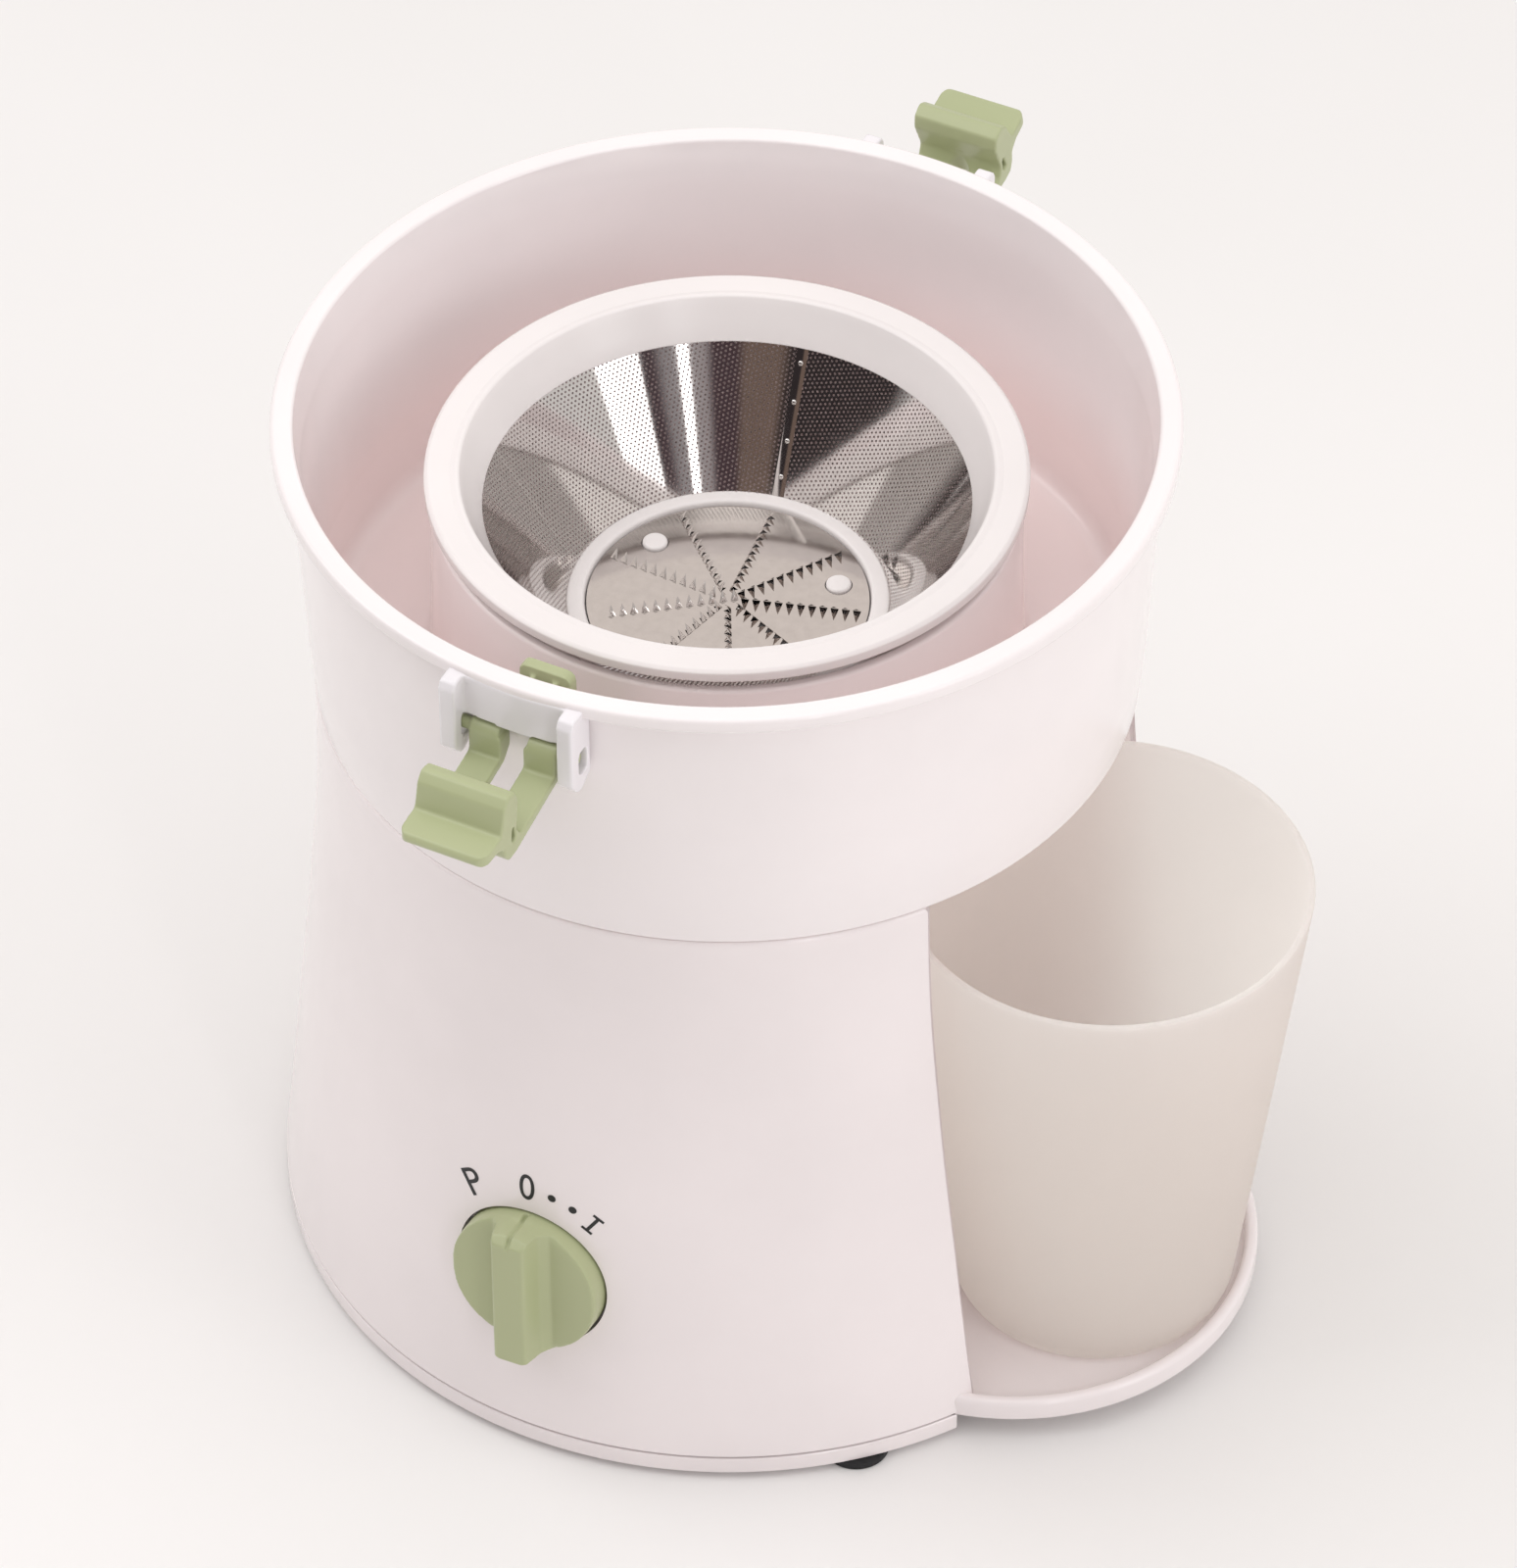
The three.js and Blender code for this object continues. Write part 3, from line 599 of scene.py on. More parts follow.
def cord_inlet():
    """Rubber-like gland of the mains inlet, low on the back."""
    square_on = (Matrix.Translation((0, INLET_Y, INLET_Z))
                 @ Matrix.Rotation(math.radians(INLET_LEAN), 4, "X"))
    sleeve = [(3, 3, 0), (6.2, 3, 0), (6.2, 10, 0), (8.6, 10.6, 0.3), (8.6, 12.6, 0.6),
              (6.0, 13.4, 0.8)]
    for z in (14.6, 16.4, 18.2):
        sleeve += [(5.9, z, 0.2), (5.1, z + 0.3, 0.2), (5.1, z + 0.9, 0.2), (5.8, z + 1.1, 0.2)]
    sleeve += [(5.4, 21, 0.6), (3, 21, 0.5)]
    gland = turned(lathe("inlet_gland", rounded(sleeve, 3), 64), square_on)
    piece(gland, "base", "shell", ["cord_gland"])
    # a black disc deep in the gland's bore is painted shade, so that the hole reads dark
    shade = lathe("inlet_shade", [(0, 3.2), (3.05, 3.2), (3.05, 3.6), (0, 3.6)], 32)
    piece(turned(shade, square_on), "base", "black")


# ------------------------------------------------------------------ dial
def knob():
    """Round grip with a flat-fronted bar across it; a notch on its end points at the printing."""
    wall = [(0, -5.4, 0), (17.6, -5.4, 0.6), (KNOB_R, -4.2, 0.6), (KNOB_R, 3.3, 1.3), (0, 3.3, 0)]
    disc = lathe("knob_grip", rounded(wall), 160)
    side = [(KNOB_R, -1, 0), (KNOB_R, 3.3, 0.9), (13, 3.35, 8), (9, 3.2, 4), (7.6, 2.8, 2),
            (5.3, 5.2, 3), (4.05, 10.6, 1.0)]
    outline = rounded(side + [(-x, z, r) for x, z, r in reversed(side)])
    face = combine(prism("knob_face", outline, -17.9, 17.9, "y"), "INTERSECT",
                   lathe("knob_draft", [(0, -2), (KNOB_R, -2), (18, 10.6), (0, 10.6)], 160))
    crest = prism("knob_crest", [(15.9, 10.7), (18.6, 8), (18.6, 12), (15.9, 12)], -9, 9, "x")
    notch = prism("pointer", [(15, 11), (15.6, 9.9), (17.4, 8.0), (17.4, 0), (19, 0), (19, 11)],
                  -0.5, 0.5, "x")
    body = moulded(cut(join(disc, face), crest, notch), 0.3, 3)
    turned(turned(body, Matrix.Rotation(math.radians(KNOB_TURN), 4, "Z")), ON_PANEL)
    piece(body, "dial", "green", ["knob"], crease=180)


CAP_HEIGHT = 0.72  # of Blender's own typeface, in parts of its size
LETTERS = [("P", -37.8, 34, 7.4, 0.98), ("0", -3.2, 2, 7.4, 0.84)]  # angle, lean, height, widening
ONE_AT, ONE_LEAN, DOTS_AT, DOT_R = 35.9, -34, (11, 23.2), 1.0


def dial_marks():
    """Printed P, 0, two dots and I in a ring over the knob, laid on the curved panel."""
    def place(degrees):
        a = math.radians(degrees)
        return MARK_R * math.sin(a), KNOB_Z + MARK_R * math.cos(a)

    for letter, where, lean, size, widen in LETTERS:
        curve = bpy.data.curves.new("mark_" + letter, "FONT")
        curve.body, curve.size = letter, size / CAP_HEIGHT
        curve.align_x, curve.align_y = "CENTER", "CENTER"
        curve.offset, curve.resolution_u = 0.03, 8
        stamp = linked("mark_" + letter, curve)
        flat = bpy.data.objects.new("dial_" + letter, baked(stamp))
        bpy.data.objects.remove(stamp)
        bpy.context.scene.collection.objects.link(flat)
        lay_on_panel(flat, *place(where), lean, widen)
    half, serif, stem, stroke = 2.75, 1.5, 0.42, 0.72
    corner = [(serif, half), (serif, half - stroke), (stem, half - stroke)]
    bar = corner + [(p, -q) for p, q in reversed(corner)]
    bar += [(-p, -q) for p, q in corner] + [(-p, q) for p, q in reversed(corner)]
    one = raw("dial_1", [(p, q, 0) for p, q in bar], [list(range(len(bar)))])
    lay_on_panel(one, *place(ONE_AT), ONE_LEAN, 1)
    for k, where in enumerate(DOTS_AT, 1):
        edge = [(p, q, 0) for p, q in arc(DOT_R, 0, 345, 23)]
        lay_on_panel(raw(f"dial_dot_{k}", edge, [list(range(24))]), *place(where), 0, 1)


def lay_on_panel(flat, x, z, turn, widen):
    """Bends a flat print onto the housing's front, a hair above it."""
    bm = bmesh.new()
    bm.from_mesh(flat.data)
    bmesh.ops.triangulate(bm, faces=bm.faces)
    spin = Matrix.Rotation(math.radians(turn), 2)
    for v in bm.verts:
        a = spin @ Vector((v.co.x * widen, v.co.y))
        px, pz = x + a.x, z + a.y
        v.co = (px, -math.sqrt((side_radius(pz) + 0.06) ** 2 - px * px), pz)
    bm.to_mesh(flat.data)
    bm.free()
    piece(flat, "base", "black", look=INK)


# ------------------------------------------------------------------ bowl
def bowl():
    """Trough, inner ring and lid rim turned as one; the drain and the lever's slot are cut."""
    profile = rounded([
        (91.6, 160.7, 0.2), (93.5, 160.7, 0.5), (94.5, 174, 30), (95.4, 195.6, 60), (96.9, 226, 2),
        (98.2, 229.2, 1), (100.7, 229.4, 0.8), (100.7, RIM_Z, 1.1), (95.6, RIM_Z, 0.9),
        (94.4, 222, 40), (92.4, 180, 40), (91.2, 165.5, 4.5), (67, 165.5, 2.2), (65.9, 209.6, 1.0),
        (63.3, 209.6, 1.0), (62.2, 165.9, 3), (26, 166.4, 3), (22, 167.4, 1.2), (22, 170, 0.6),
        (20, 170, 0.6), (20, 163, 0)], 5)
    shell = lathe("bowl_shell", profile, 224)
    drain = block("drain", (49.5, 60.6), (-9.5, 9.5), (161, 175))
    slot = block("lever_slot", (-4.6, 4.6), (LEVER_Y - 1.8, LEVER_Y + 1.8), LEVER_SLOT_Z)
    piece(cut(shell, drain, slot), "bowl", "bowl", ["bowl"])


def spout():
    """Short channel under the bowl that lets the juice fall into the cup."""
    side = rounded([(46, 163.3, 0), (80, 163.3, 0), (80, 150, 1), (66.5, 150, 1.5), (46, 158, 0)])
    outer = prism("spout", side, -11.5, 11.5, "y")
    way = [(49.5, 175), (60.6, 175), (60.6, 161.4), (78, 161.4), (78, 149), (68, 149),
           (68, 151.6), (49.5, 159.2)]
    channel = prism("spout_way", way, -9.5, 9.5, "y")
    piece(moulded(cut(outer, channel), 0.4, 4), "bowl", "bowl", look=LOOK["shell"], crease=180)


def lever_guide():
    """Two rails inside the bowl's wall, between which the lever slides."""
    depth = (-94.6, -81.6)
    rails = [block(f"rail_{side}", sorted((side * 11.2, side * 13.2)), depth, (164.5, 212))
             for side in (-1, 1)]
    foot = block("rail_foot", (-13.2, 13.2), depth, (164, 166.6))
    hole = block("rail_slot", (-4.6, 4.6), (LEVER_Y - 1.8, LEVER_Y + 1.8), LEVER_SLOT_Z)
    inside = lathe("rail_limit", [(0, 160), (92, 160), (93.8, 213), (0, 213)], 128)
    rails = combine(join(foot, *rails), "INTERSECT", inside)
    piece(moulded(cut(rails, hole), 0.4, 4), "bowl", "bowl", crease=180)


def latch_mount(side, name):
    """Two ears with pin slots and the little front plate between them."""
    ear = rounded([(96.4, 231.6, 0), (103.4, 231.6, 1.6), (104.6, 229.6, 1), (104.6, 213.4, 2.2),
                   (102.0, 210.2, 1.8), (99.6, 210.2, 1), (96, 212.6, 0)])
    mirror = [(side * a, b) for a, b in ear]
    ears = [prism(f"ear_{x}", mirror, x, x + 3.8, "x") for x in (-16, 12.2)]
    inner, outer = PIVOT_Y - 1.8, PIVOT_Y + 1.8
    slot = rounded([(inner, 214.2, 1.7), (outer, 214.2, 1.7), (outer, 220.8, 1.7),
                    (inner, 220.8, 1.7)])
    slot = prism("pin_slot", [(side * a, b) for a, b in slot], -20, 20, "x")
    band = lathe("plate_band", [(99.2, 220.1), (100.9, 220.1), (100.9, 231), (99.2, 231)], 256)
    limit = block("plate_limit", (-12.4, 12.4), sorted((side * 94, side * 103)), (219, 232))
    plate = combine(band, "INTERSECT", limit)
    top = block("plate_top", (-12.4, 12.4), sorted((side * 97.6, side * 100.4)), (229.6, 231.4))
    body = cut(join(ears[0], ears[1], plate, top), slot)
    piece(moulded(body, 0.32, 3), "bowl", "bowl", look=LOOK["mount"], crease=180).name = name


# ------------------------------------------------------------------ latches
# side view of a clip as (distance from the axis, height, corner radius), from the pin round the tab
CLIP = [(97.3, 217.5, 0), (97.3, 213.4, 1.2), (100.2, 210.2, 2.2), (104, 209.5, 3),
        (119.6, 205.9, 1.4), (123.0, 205.8, 1.6), (124.6, 208.2, 1.2), (125.2, 210.8, 1.4),
        (127.8, 212.2, 1.2), (133.6, 212.4, 0.7), (134.5, 213.7, 1.0), (133.6, 215.1, 0.7),
        (126.3, 215.6, 0.8), (125.5, 218.4, 3.0), (124.7, 221.6, 2.2), (122.6, 223.8, 1.2),
        (119.5, 223.0, 0.9), (118.3, 220.0, 3.0), (119.3, 212.0, 2.4), (117.4, 209.3, 1.6),
        (102.1, 212.3, 0.5), (101.9, 217.5, 0)]
CLIP_HALF, GAP_HALF = 10.5, 2.7  # half the clip's width, and half the slot between its legs


def latch(side, body, node, tilt):
    """Green clip: two pinned legs with a slot between them, hook and finger tab."""
    def strip(half, far, corner):
        return rounded([(-half, side * 90, 0), (half, side * 90, 0), (half, side * far, corner),
                        (-half, side * far, corner)], 8)

    profile = [(side * a, b) for a, b in rounded(CLIP, 5)]
    shape = prism(node + "_clip", profile, -CLIP_HALF, CLIP_HALF, "x")
    shape = combine(shape, "INTERSECT", prism("tab_plan", strip(CLIP_HALF, 134.5, 3.6), 200, 230))
    pivot = Vector((0, side * PIVOT_Y, PIVOT_Z))
    across = Matrix.Translation(pivot) @ Matrix.Rotation(math.pi / 2, 4, "Y")
    pins = []
    for end in (-1, 1):
        stub = rounded([(0, end * 3.4, 0), (2.3, end * 3.4, 0.2), (2.3, end * CLIP_HALF, 0.2),
                        (1.5, end * CLIP_HALF, 0), (1.5, end * 15, 0.3), (0, end * 15, 0)])
        pins.append(turned(lathe(f"pivot_{end}", stub, 48), across))
    legs = sorted((side * 90, side * 108))
    open_top = block("leg_gap_top", (-GAP_HALF, GAP_HALF), legs, (212, 222))
    dent = ((119.9, 209.8), (121.6, 209.8), (121.2, 213.8), (120.4, 213.8))
    relief = prism("hook_relief", [(side * a, b) for a, b in dent], 7.2, 12, "x")
    gap = prism("leg_gap", strip(GAP_HALF, 119.2, 2.7), 200, PIVOT_Z - 2.4)
    shape = moulded(join(cut(shape, gap, open_top, relief), *pins), 0.32, 4)
    swing = Matrix.Rotation(math.radians(side * tilt), 4, "X")
    turned(shape, Matrix.Translation(pivot) @ swing @ Matrix.Translation(-pivot))
    piece(shape, body, "green", [node], crease=180)


def interlock_lever():
    """Green rod that the lid presses; it reaches down through the bowl's floor."""
    blade = rounded([(-4, 160.4, 0.8), (4, 160.4, 0.8), (4, 205, 1), (10.2, 212.4, 1),
                     (10.4, 216, 1), (6.3, 219.4, 1.4), (6.3, 226.2, 2.2), (-6.3, 226.2, 2.2),
                     (-6.3, 205, 1), (-4, 203, 1)])
    shape = prism("lever_blade", blade, LEVER_Y - 1.4, LEVER_Y + 1.4, "y")
    rib = rounded([(-86.2, 200, 0), (-88, 202, 0.5), (-88, 223.4, 0.8), (-86.2, 224.4, 0)])
    ribs = [prism(f"rib_{x}", rib, x - 0.6, x + 0.6, "x") for x in (-2.7, 2.7)]
    shape = moulded(join(shape, *ribs), 0.3, 3)
    piece(shape, "interlock", "green", ["interlock_lever"], crease=180)


# ------------------------------------------------------------------ sieve basket
CONE_LOW, CONE_HIGH = (36.2, 177.6), (55.2, 206.9)  # the sieve's inner edge, bottom and top
SEAM_ANGLE = 98.5  # degrees, where the sheet's ends overlap
SEAM_MARGIN = 0.012  # radians of the flat sheet without holes, on either side of the overlap


def perforated_sieve(pitch=1.12, hole=0.3):
    """Steel cone with real holes: a flat hexagon lattice in the cone's sector, rolled up."""
    rise, grow = CONE_HIGH[1] - CONE_LOW[1], CONE_HIGH[0] - CONE_LOW[0]
    slant = math.hypot(rise, grow)
    ratio = grow / slant
    near, far = CONE_LOW[0] / ratio, CONE_HIGH[0] / ratio
    sweep = 2 * math.pi * ratio
    verts, faces, index = [], [], {}

    def on_cone(u, v):
        s, t = math.hypot(u, v), math.atan2(v, u) + math.pi
        a = t / ratio + math.radians(SEAM_ANGLE)
        r = s * ratio
        return r * math.cos(a), r * math.sin(a), CONE_LOW[1] + (s - near) * rise / slant

    def corner(key, u, v):
        if key not in index:
            index[key] = len(verts)
            verts.append(on_cone(u, v))
        return index[key]

    step = pitch * math.sqrt(3) / 2
    side = pitch / math.sqrt(3)
    rows = int(far / step) + 2
    for j in range(-rows, rows + 1):
        for i in range(-rows - 30, rows + 31):
            u, v = i * pitch + (j % 2) * pitch / 2, j * step
            s, t = math.hypot(u, v), math.atan2(v, u) + math.pi
            if not near - 0.2 < s < far + 0.2 or not SEAM_MARGIN < t < sweep - SEAM_MARGIN:
                continue
            ring, rim = [], []
            for k in range(6):
                a = math.radians(60 * k + 30)
                cu, cv = u + side * math.cos(a), v + side * math.sin(a)
                ring.append(corner((round(cu / 0.02), round(cv / 0.02)), cu, cv))
                rim.append(corner((i, j, k), u + hole * math.cos(a), v + hole * math.sin(a)))
            for k in range(6):
                faces.append([ring[k], ring[(k + 1) % 6], rim[(k + 1) % 6], rim[k]])
    mesh = bpy.data.meshes.new("sieve")
    mesh.from_pydata(verts, [], faces)
    piece(linked("sieve", mesh), "basket", "steel", ["basket_mesh"], crease=180)
    tilt = math.atan2(grow, rise)
    inward = []
    for v in mesh.vertices:
        a = math.atan2(v.co.y - AXIS.y, v.co.x - AXIS.x)
        level = math.cos(tilt)
        inward.append((-math.cos(a) * level, -math.sin(a) * level, math.sin(tilt)))
    mesh.normals_split_custom_set_from_vertices(inward)


def sieve_seam():
    """Plain lap of the sieve's sheet, with its spot welds."""
    half, thick, steps = 1.35, 0.22, 14
    verts, faces = [], []
    for k in range(steps + 1):
        t = k / steps
        r = CONE_LOW[0] + (CONE_HIGH[0] - CONE_LOW[0]) * t - thick
        z = CONE_LOW[1] + (CONE_HIGH[1] - CONE_LOW[1]) * t + 0.1
        for j in range(5):
            reach = math.degrees(half * (j / 2 - 1) / r)
            lift = 0.16 if j in (0, 4) else 0.0
            verts.append((*polar(r + lift, SEAM_ANGLE + reach), z))
    for k in range(steps):
        faces += [[k * 5 + j, k * 5 + j + 1, k * 5 + j + 6, k * 5 + j + 5] for j in range(4)]
    strip = raw("sieve_seam", verts, faces)
    piece(strip, "basket", "steel", crease=60)
    for k, t in enumerate((0.9, 0.64, 0.38, 0.14), 1):
        r = CONE_LOW[0] + (CONE_HIGH[0] - CONE_LOW[0]) * t - thick
        z = CONE_LOW[1] + (CONE_HIGH[1] - CONE_LOW[1]) * t
        cap = [(0.62 * math.cos(a), 0.2 * math.sin(a)) for a in (0, 0.4, 0.8, 1.2)] + [(0, 0.2)]
        dot = lathe(f"spot_weld_{k}", [(0, 0)] + cap, 20)
        lean = (Matrix.Rotation(math.radians(SEAM_ANGLE), 4, "Z") @ Matrix.Translation((r, 0, z))
                @ Matrix.Rotation(math.radians(-57), 4, "Y"))
        piece(turned(dot, lean), "basket", "steel", crease=60)


def basket_plastic():
    """Rim ring, base ring with its hub, and the heads of the three heat stakes."""
    rim = rounded([(54.4, 207.1, 0.3), (56.4, 210.8, 6), (58.4, 214.6, 2), (59.6, 216.9, 1.0),
                   (61.4, 216.4, 0.8), (66.4, 216.7, 0.8), (67.3, 216.0, 0.6), (67.3, 213.4, 0.8),
                   (61.2, 212.9, 1.0), (59.6, 212.2, 1), (57.4, 206.2, 0.5)], 5)
    piece(lathe("basket_rim_ring", rim, 192), "basket", "basket", ["basket_rim"])
    base = rounded([(9.4, 172.2, 0), (14, 172.2, 0.6), (14, 171.4, 0), (34.6, 171.4, 1),
                    (36.5, 173, 0.8), (36.5, 178.0, 0.9), (32.4, 178.4, 0.8), (32.0, 175, 0),
                    (9.4, 175, 0)], 4)
    piece(lathe("basket_base_ring", base, 160), "basket", "basket", ["basket_base"])
    hub = rounded([(9.4, 167.6, 0.3), (14, 167.6, 0.8), (14, 173, 0), (9.4, 173, 0)])
    piece(lathe("basket_hub", hub, 96), "basket", "basket")
    for k, angle in enumerate(STAKE_ANGLES, 1):
        head = rounded([(0, 174, 0), (2.9, 174, 0), (2.9, 178.0, 0.7), (0, 178.3, 0)])
        piece(lathe(f"heat_stake_{k}", head, 40, *polar(STAKE_R, angle)), "basket", "basket")


ROWS, TEETH, FIRST_ROW, TOOTH_PITCH = 9, 11, 17.4, 2.55
ROW_START, LONG_ROW, LONG_START = 3.8, 5, -1.4  # the sixth row runs on past the middle
TOOTH_HALF, TOOTH_BACK, TOOTH_REACH = 0.95, 0.7, 1.75  # the three-cornered hole
TONGUE, TONGUE_LEAN = 2.7, math.radians(52)


def grater():
    """Steel disc with rows of punched teeth: a hole each, its tongue bent up beside it."""
    top, thick, radius = 177.2, 0.5, 31.9
    rim = arc(radius, 0, 360 * 127 / 128, 127)
    points, edges, holes = list(rim), [(k, (k + 1) % 128) for k in range(128)], []
    for x, y in (polar(STAKE_R, a) for a in STAKE_ANGLES):
        start = len(points)
        points += arc(3.15, 0, 345, 23, x, y)
        edges += [(start + k, start + (k + 1) % 24) for k in range(24)]
        holes.append((x, y, 3.1))
    tongues = []
    for row in range(ROWS):
        a = math.radians(FIRST_ROW + 360 * row / ROWS)
        out, turn = Vector((math.cos(a), math.sin(a))), Vector((math.sin(a), -math.cos(a)))
        start_r, count = (LONG_START, TEETH + 1) if row == LONG_ROW else (ROW_START, TEETH)
        for i in range(count):
            base = out * (start_r + TOOTH_PITCH * i) - turn * TOOTH_BACK
            a0, a1 = base + out * TOOTH_HALF, base - out * TOOTH_HALF
            tip = base + turn * TOOTH_REACH
            start = len(points)
            points += [tuple(a0), tuple(a1), tuple(tip)]
            edges += [(start, start + 1), (start + 1, start + 2), (start + 2, start)]
            centre = (a0 + a1 + tip) / 3
            holes.append((centre.x, centre.y, 0.2))
            tongues.append((base, out, turn))
    flat, _, tris, _, _, _ = delaunay_2d_cdt([Vector(p) for p in points], edges, [], 1, 1e-4)
    keep = []
    for tri in tris:
        c = sum((flat[i] for i in tri), Vector((0, 0))) / len(tri)
        in_hole = any((c.x - x) ** 2 + (c.y - y) ** 2 < r * r for x, y, r in holes)
        if c.length < radius and not in_hole:
            keep.append(list(tri))
    bm = bmesh.new()
    made = [bm.verts.new((p.x, p.y, top)) for p in flat]
    for tri in keep:
        bm.faces.new([made[i] for i in tri])
    bmesh.ops.delete(bm, geom=[v for v in bm.verts if not v.link_faces], context="VERTS")
    skirt = bmesh.ops.extrude_edge_only(bm, edges=[e for e in bm.edges if e.is_boundary])
    for v in [g for g in skirt["geom"] if isinstance(g, bmesh.types.BMVert)]:
        v.co.z -= thick
    for base, out, turn in tongues:
        grid = []
        for k in range(5):
            t = k / 4
            row = []
            for j in range(7):
                u = j / 3 - 1
                wide = TOOTH_HALF * (1 - t) ** 0.9
                bulge = 0.6 * (1 - u * u) * (1 - t) * (0.25 + t)
                rise = TONGUE * t * math.sin(TONGUE_LEAN) + bulge
                p = base + out * (u * wide) + turn * (TONGUE * t * math.cos(TONGUE_LEAN))
                row.append(bm.verts.new((p.x, p.y, top + rise)))
            grid.append(row)
        for k in range(4):
            for j in range(6):
                bm.faces.new([grid[k][j], grid[k][j + 1], grid[k + 1][j + 1], grid[k + 1][j]])
    bmesh.ops.recalc_face_normals(bm, faces=bm.faces)
    mesh = bpy.data.meshes.new("grater")
    bm.to_mesh(mesh)
    bm.free()
    piece(linked("grater", mesh), "basket", "steel", ["grater_disc"], LOOK["disc"], 40)


# ------------------------------------------------------------------ cup
def cup():
    """Open milky cup, a little wider towards its rim."""
    wall = rounded([(0, 8.9, 0), (32.0, 8.9, 2.4), (33.3, 12.4, 4), (47.0, 133, 0.5),
                    (45.5, 133, 0.6), (31.9, 12.6, 3), (30.4, 10.6, 2), (0, 10.6, 0)], 6)
    piece(lathe("juice_cup", wall, 192, CUP_X, CUP_Y), "cup", "cup", ["cup"])


# ------------------------------------------------------------------ CAD nodes that keep their shape
def dress_cad_nodes():
    """Gives each node its slot's look."""
    slots = {s["node"]: s["material_slot"] for s in frame["record"]["subparts"]}
    for name, obj in frame["nodes"].items():
        obj.data.materials.clear()
        obj.data.materials.append(LOOK[slots[name]])


# ------------------------------------------------------------------ floor, light, camera
def aim(obj, target):
    """Turns a light to face a point."""
    obj.rotation_euler = (Vector(target) - obj.location).to_track_quat("-Z", "Y").to_euler()


LIT_Z = 0.12  # m, height that the lights face


def softbox(name, azimuth, elevation, distance, size, power, tint=(1, 1, 1), mirrored=True):
    """A studio light; azimuth 0 is in front of the dial, positive towards the cup."""
    light = bpy.data.lights.new(name, "AREA")
    light.shape, light.size, light.size_y = "RECTANGLE", *size
    light.energy, light.color = power, tint
    obj = linked(name, light)
    a, e = math.radians(azimuth), math.radians(elevation)
    obj.location = (distance * math.sin(a) * math.cos(e), -distance * math.cos(a) * math.cos(e),
                    distance * math.sin(e) + LIT_Z)
    aim(obj, (0, 0, LIT_Z))
    obj.visible_glossy = mirrored


def room():
    """Pale surroundings with a dark side in front, which the sieve's steel mirrors in bands."""
    pale, black, brown = (1.0, 0.97, 0.95), (0.05, 0.04, 0.042), (0.24, 0.17, 0.14)
    plum, grey, dim = (0.1, 0.065, 0.075), (0.5, 0.45, 0.46), (0.4, 0.37, 0.38)
    bands = [(-62, pale), (-50, black), (-2, black), (3, brown), (18, brown), (22, plum),
             (33, plum), (37, grey), (55, dim), (60, plum), (74, black), (80, pale)]
    world = bpy.data.worlds.new("studio")
    world.use_nodes = True
    tree = world.node_tree
    where = tree.nodes.new("ShaderNodeTexCoord")
    around = tree.nodes.new("ShaderNodeTexGradient")
    around.gradient_type = "RADIAL"
    tree.links.new(where.outputs["Generated"], around.inputs["Vector"])
    apart = tree.nodes.new("ShaderNodeSeparateXYZ")
    tree.links.new(where.outputs["Generated"], apart.inputs["Vector"])
    height = ramp(tree, apart.outputs["Z"], [(0.0, (1, 1, 1)), (0.5, (1, 1, 1)), (0.62, (0, 0, 0))])
    sides = ramp(tree, around.outputs["Fac"], [(0.25 + a / 360, colour) for a, colour in bands])
    tree.links.new(mixed(tree, height, pale, sides), tree.nodes["Background"].inputs["Color"])
    tree.nodes["Background"].inputs["Strength"].default_value = 0.76
    bpy.context.scene.world = world


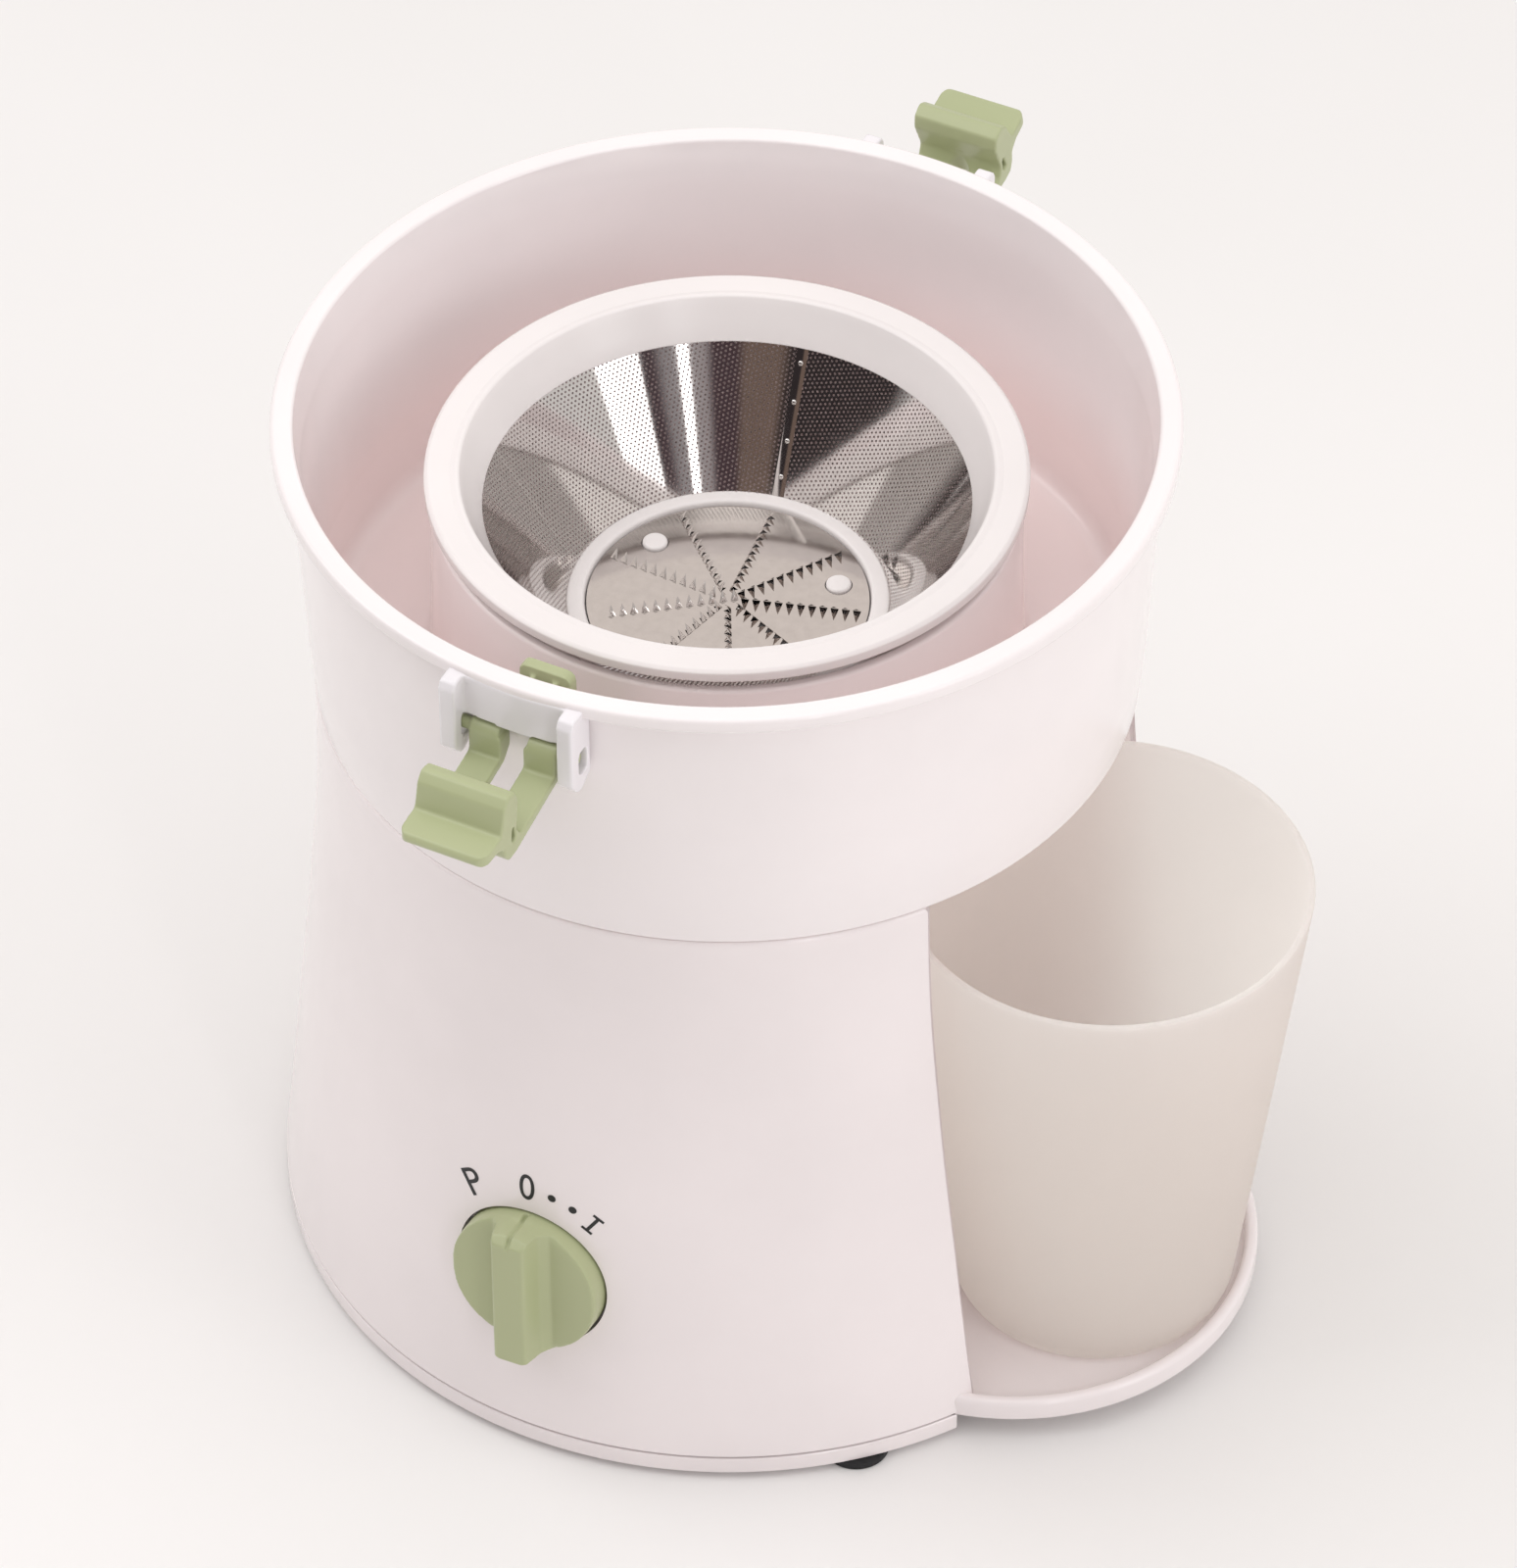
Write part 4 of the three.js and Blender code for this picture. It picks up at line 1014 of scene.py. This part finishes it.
def studio():
    """Paper floor, surroundings and softboxes."""
    mat, tree, shader = nodes_of("floor_paper")
    paper = [(0.3, (0.84, 0.825, 0.815)), (0.7, (0.86, 0.845, 0.84))]
    tree.links.new(ramp(tree, noise(tree, 3, 3), paper), shader.inputs["Base Color"])
    shader.inputs["Roughness"].default_value = 0.75
    bump(tree, shader, noise(tree, 500, 3), 0.1, 0.0002)
    mesh = bpy.data.meshes.new("floor")
    mesh.from_pydata([(-6, -6, 0), (6, -6, 0), (6, 6, 0), (-6, 6, 0)], [], [(0, 1, 2, 3)])
    mesh.materials.append(mat)
    linked("floor", mesh)
    room()
    # azimuth and elevation in degrees, distance and size in m, power in W
    softbox("key_left", -70, 48, 1.9, (1.5, 1.2), 9)
    softbox("top", 20, 84, 1.9, (1.8, 1.8), 8)
    softbox("right_box", 76, 20, 1.7, (0.55, 0.9), 3.5)
    softbox("front_strip", 46, 22, 1.7, (0.12, 0.9), 1.6)
    softbox("front_fill", 25, 25, 2.2, (2.4, 1.6), 4, mirrored=False)
    softbox("right_fill", 100, 30, 2.0, (1.4, 1.2), 3.5, mirrored=False)
    softbox("warm_card", 207.7, 43, 2.2, (1.0, 1.0), 0.8, (1, 0.86, 0.76))
    bpy.context.scene.view_settings.view_transform = "Standard"


def camera():
    """The photo's own viewpoint, fitted to the rims, the seam and the cup."""
    azimuth, elevation, roll = (math.radians(a) for a in CAMERA_ANGLES)
    target = Vector((AXIS.x, AXIS.y, 0)) + CAMERA_AIM
    level = math.cos(elevation)
    back = Vector((math.sin(azimuth) * level, -math.cos(azimuth) * level, math.sin(elevation)))
    data = bpy.data.cameras.new("camera")
    data.lens, data.sensor_width = 180, 36
    obj = linked("camera", data)
    obj.location = target + back * CAMERA_DISTANCE
    look = (-back).to_track_quat("-Z", "Y").to_matrix() @ Matrix.Rotation(roll, 3, "Z")
    obj.rotation_euler = look.to_euler()
    bpy.context.scene.camera = obj


camera()
studio()
dress_cad_nodes()
motor_housing()
tray()
bottom_cover()
cord_inlet()
knob()
dial_marks()
bowl()
spout()
lever_guide()
latch_mount(-1, "front_latch_mount")
latch_mount(1, "back_latch_mount")
latch(-1, "front_clip", "latch_front", 0)
latch(1, "back_clip", "latch_back", BACK_TILT)
interlock_lever()
perforated_sieve()
sieve_seam()
basket_plastic()
grater()
cup()
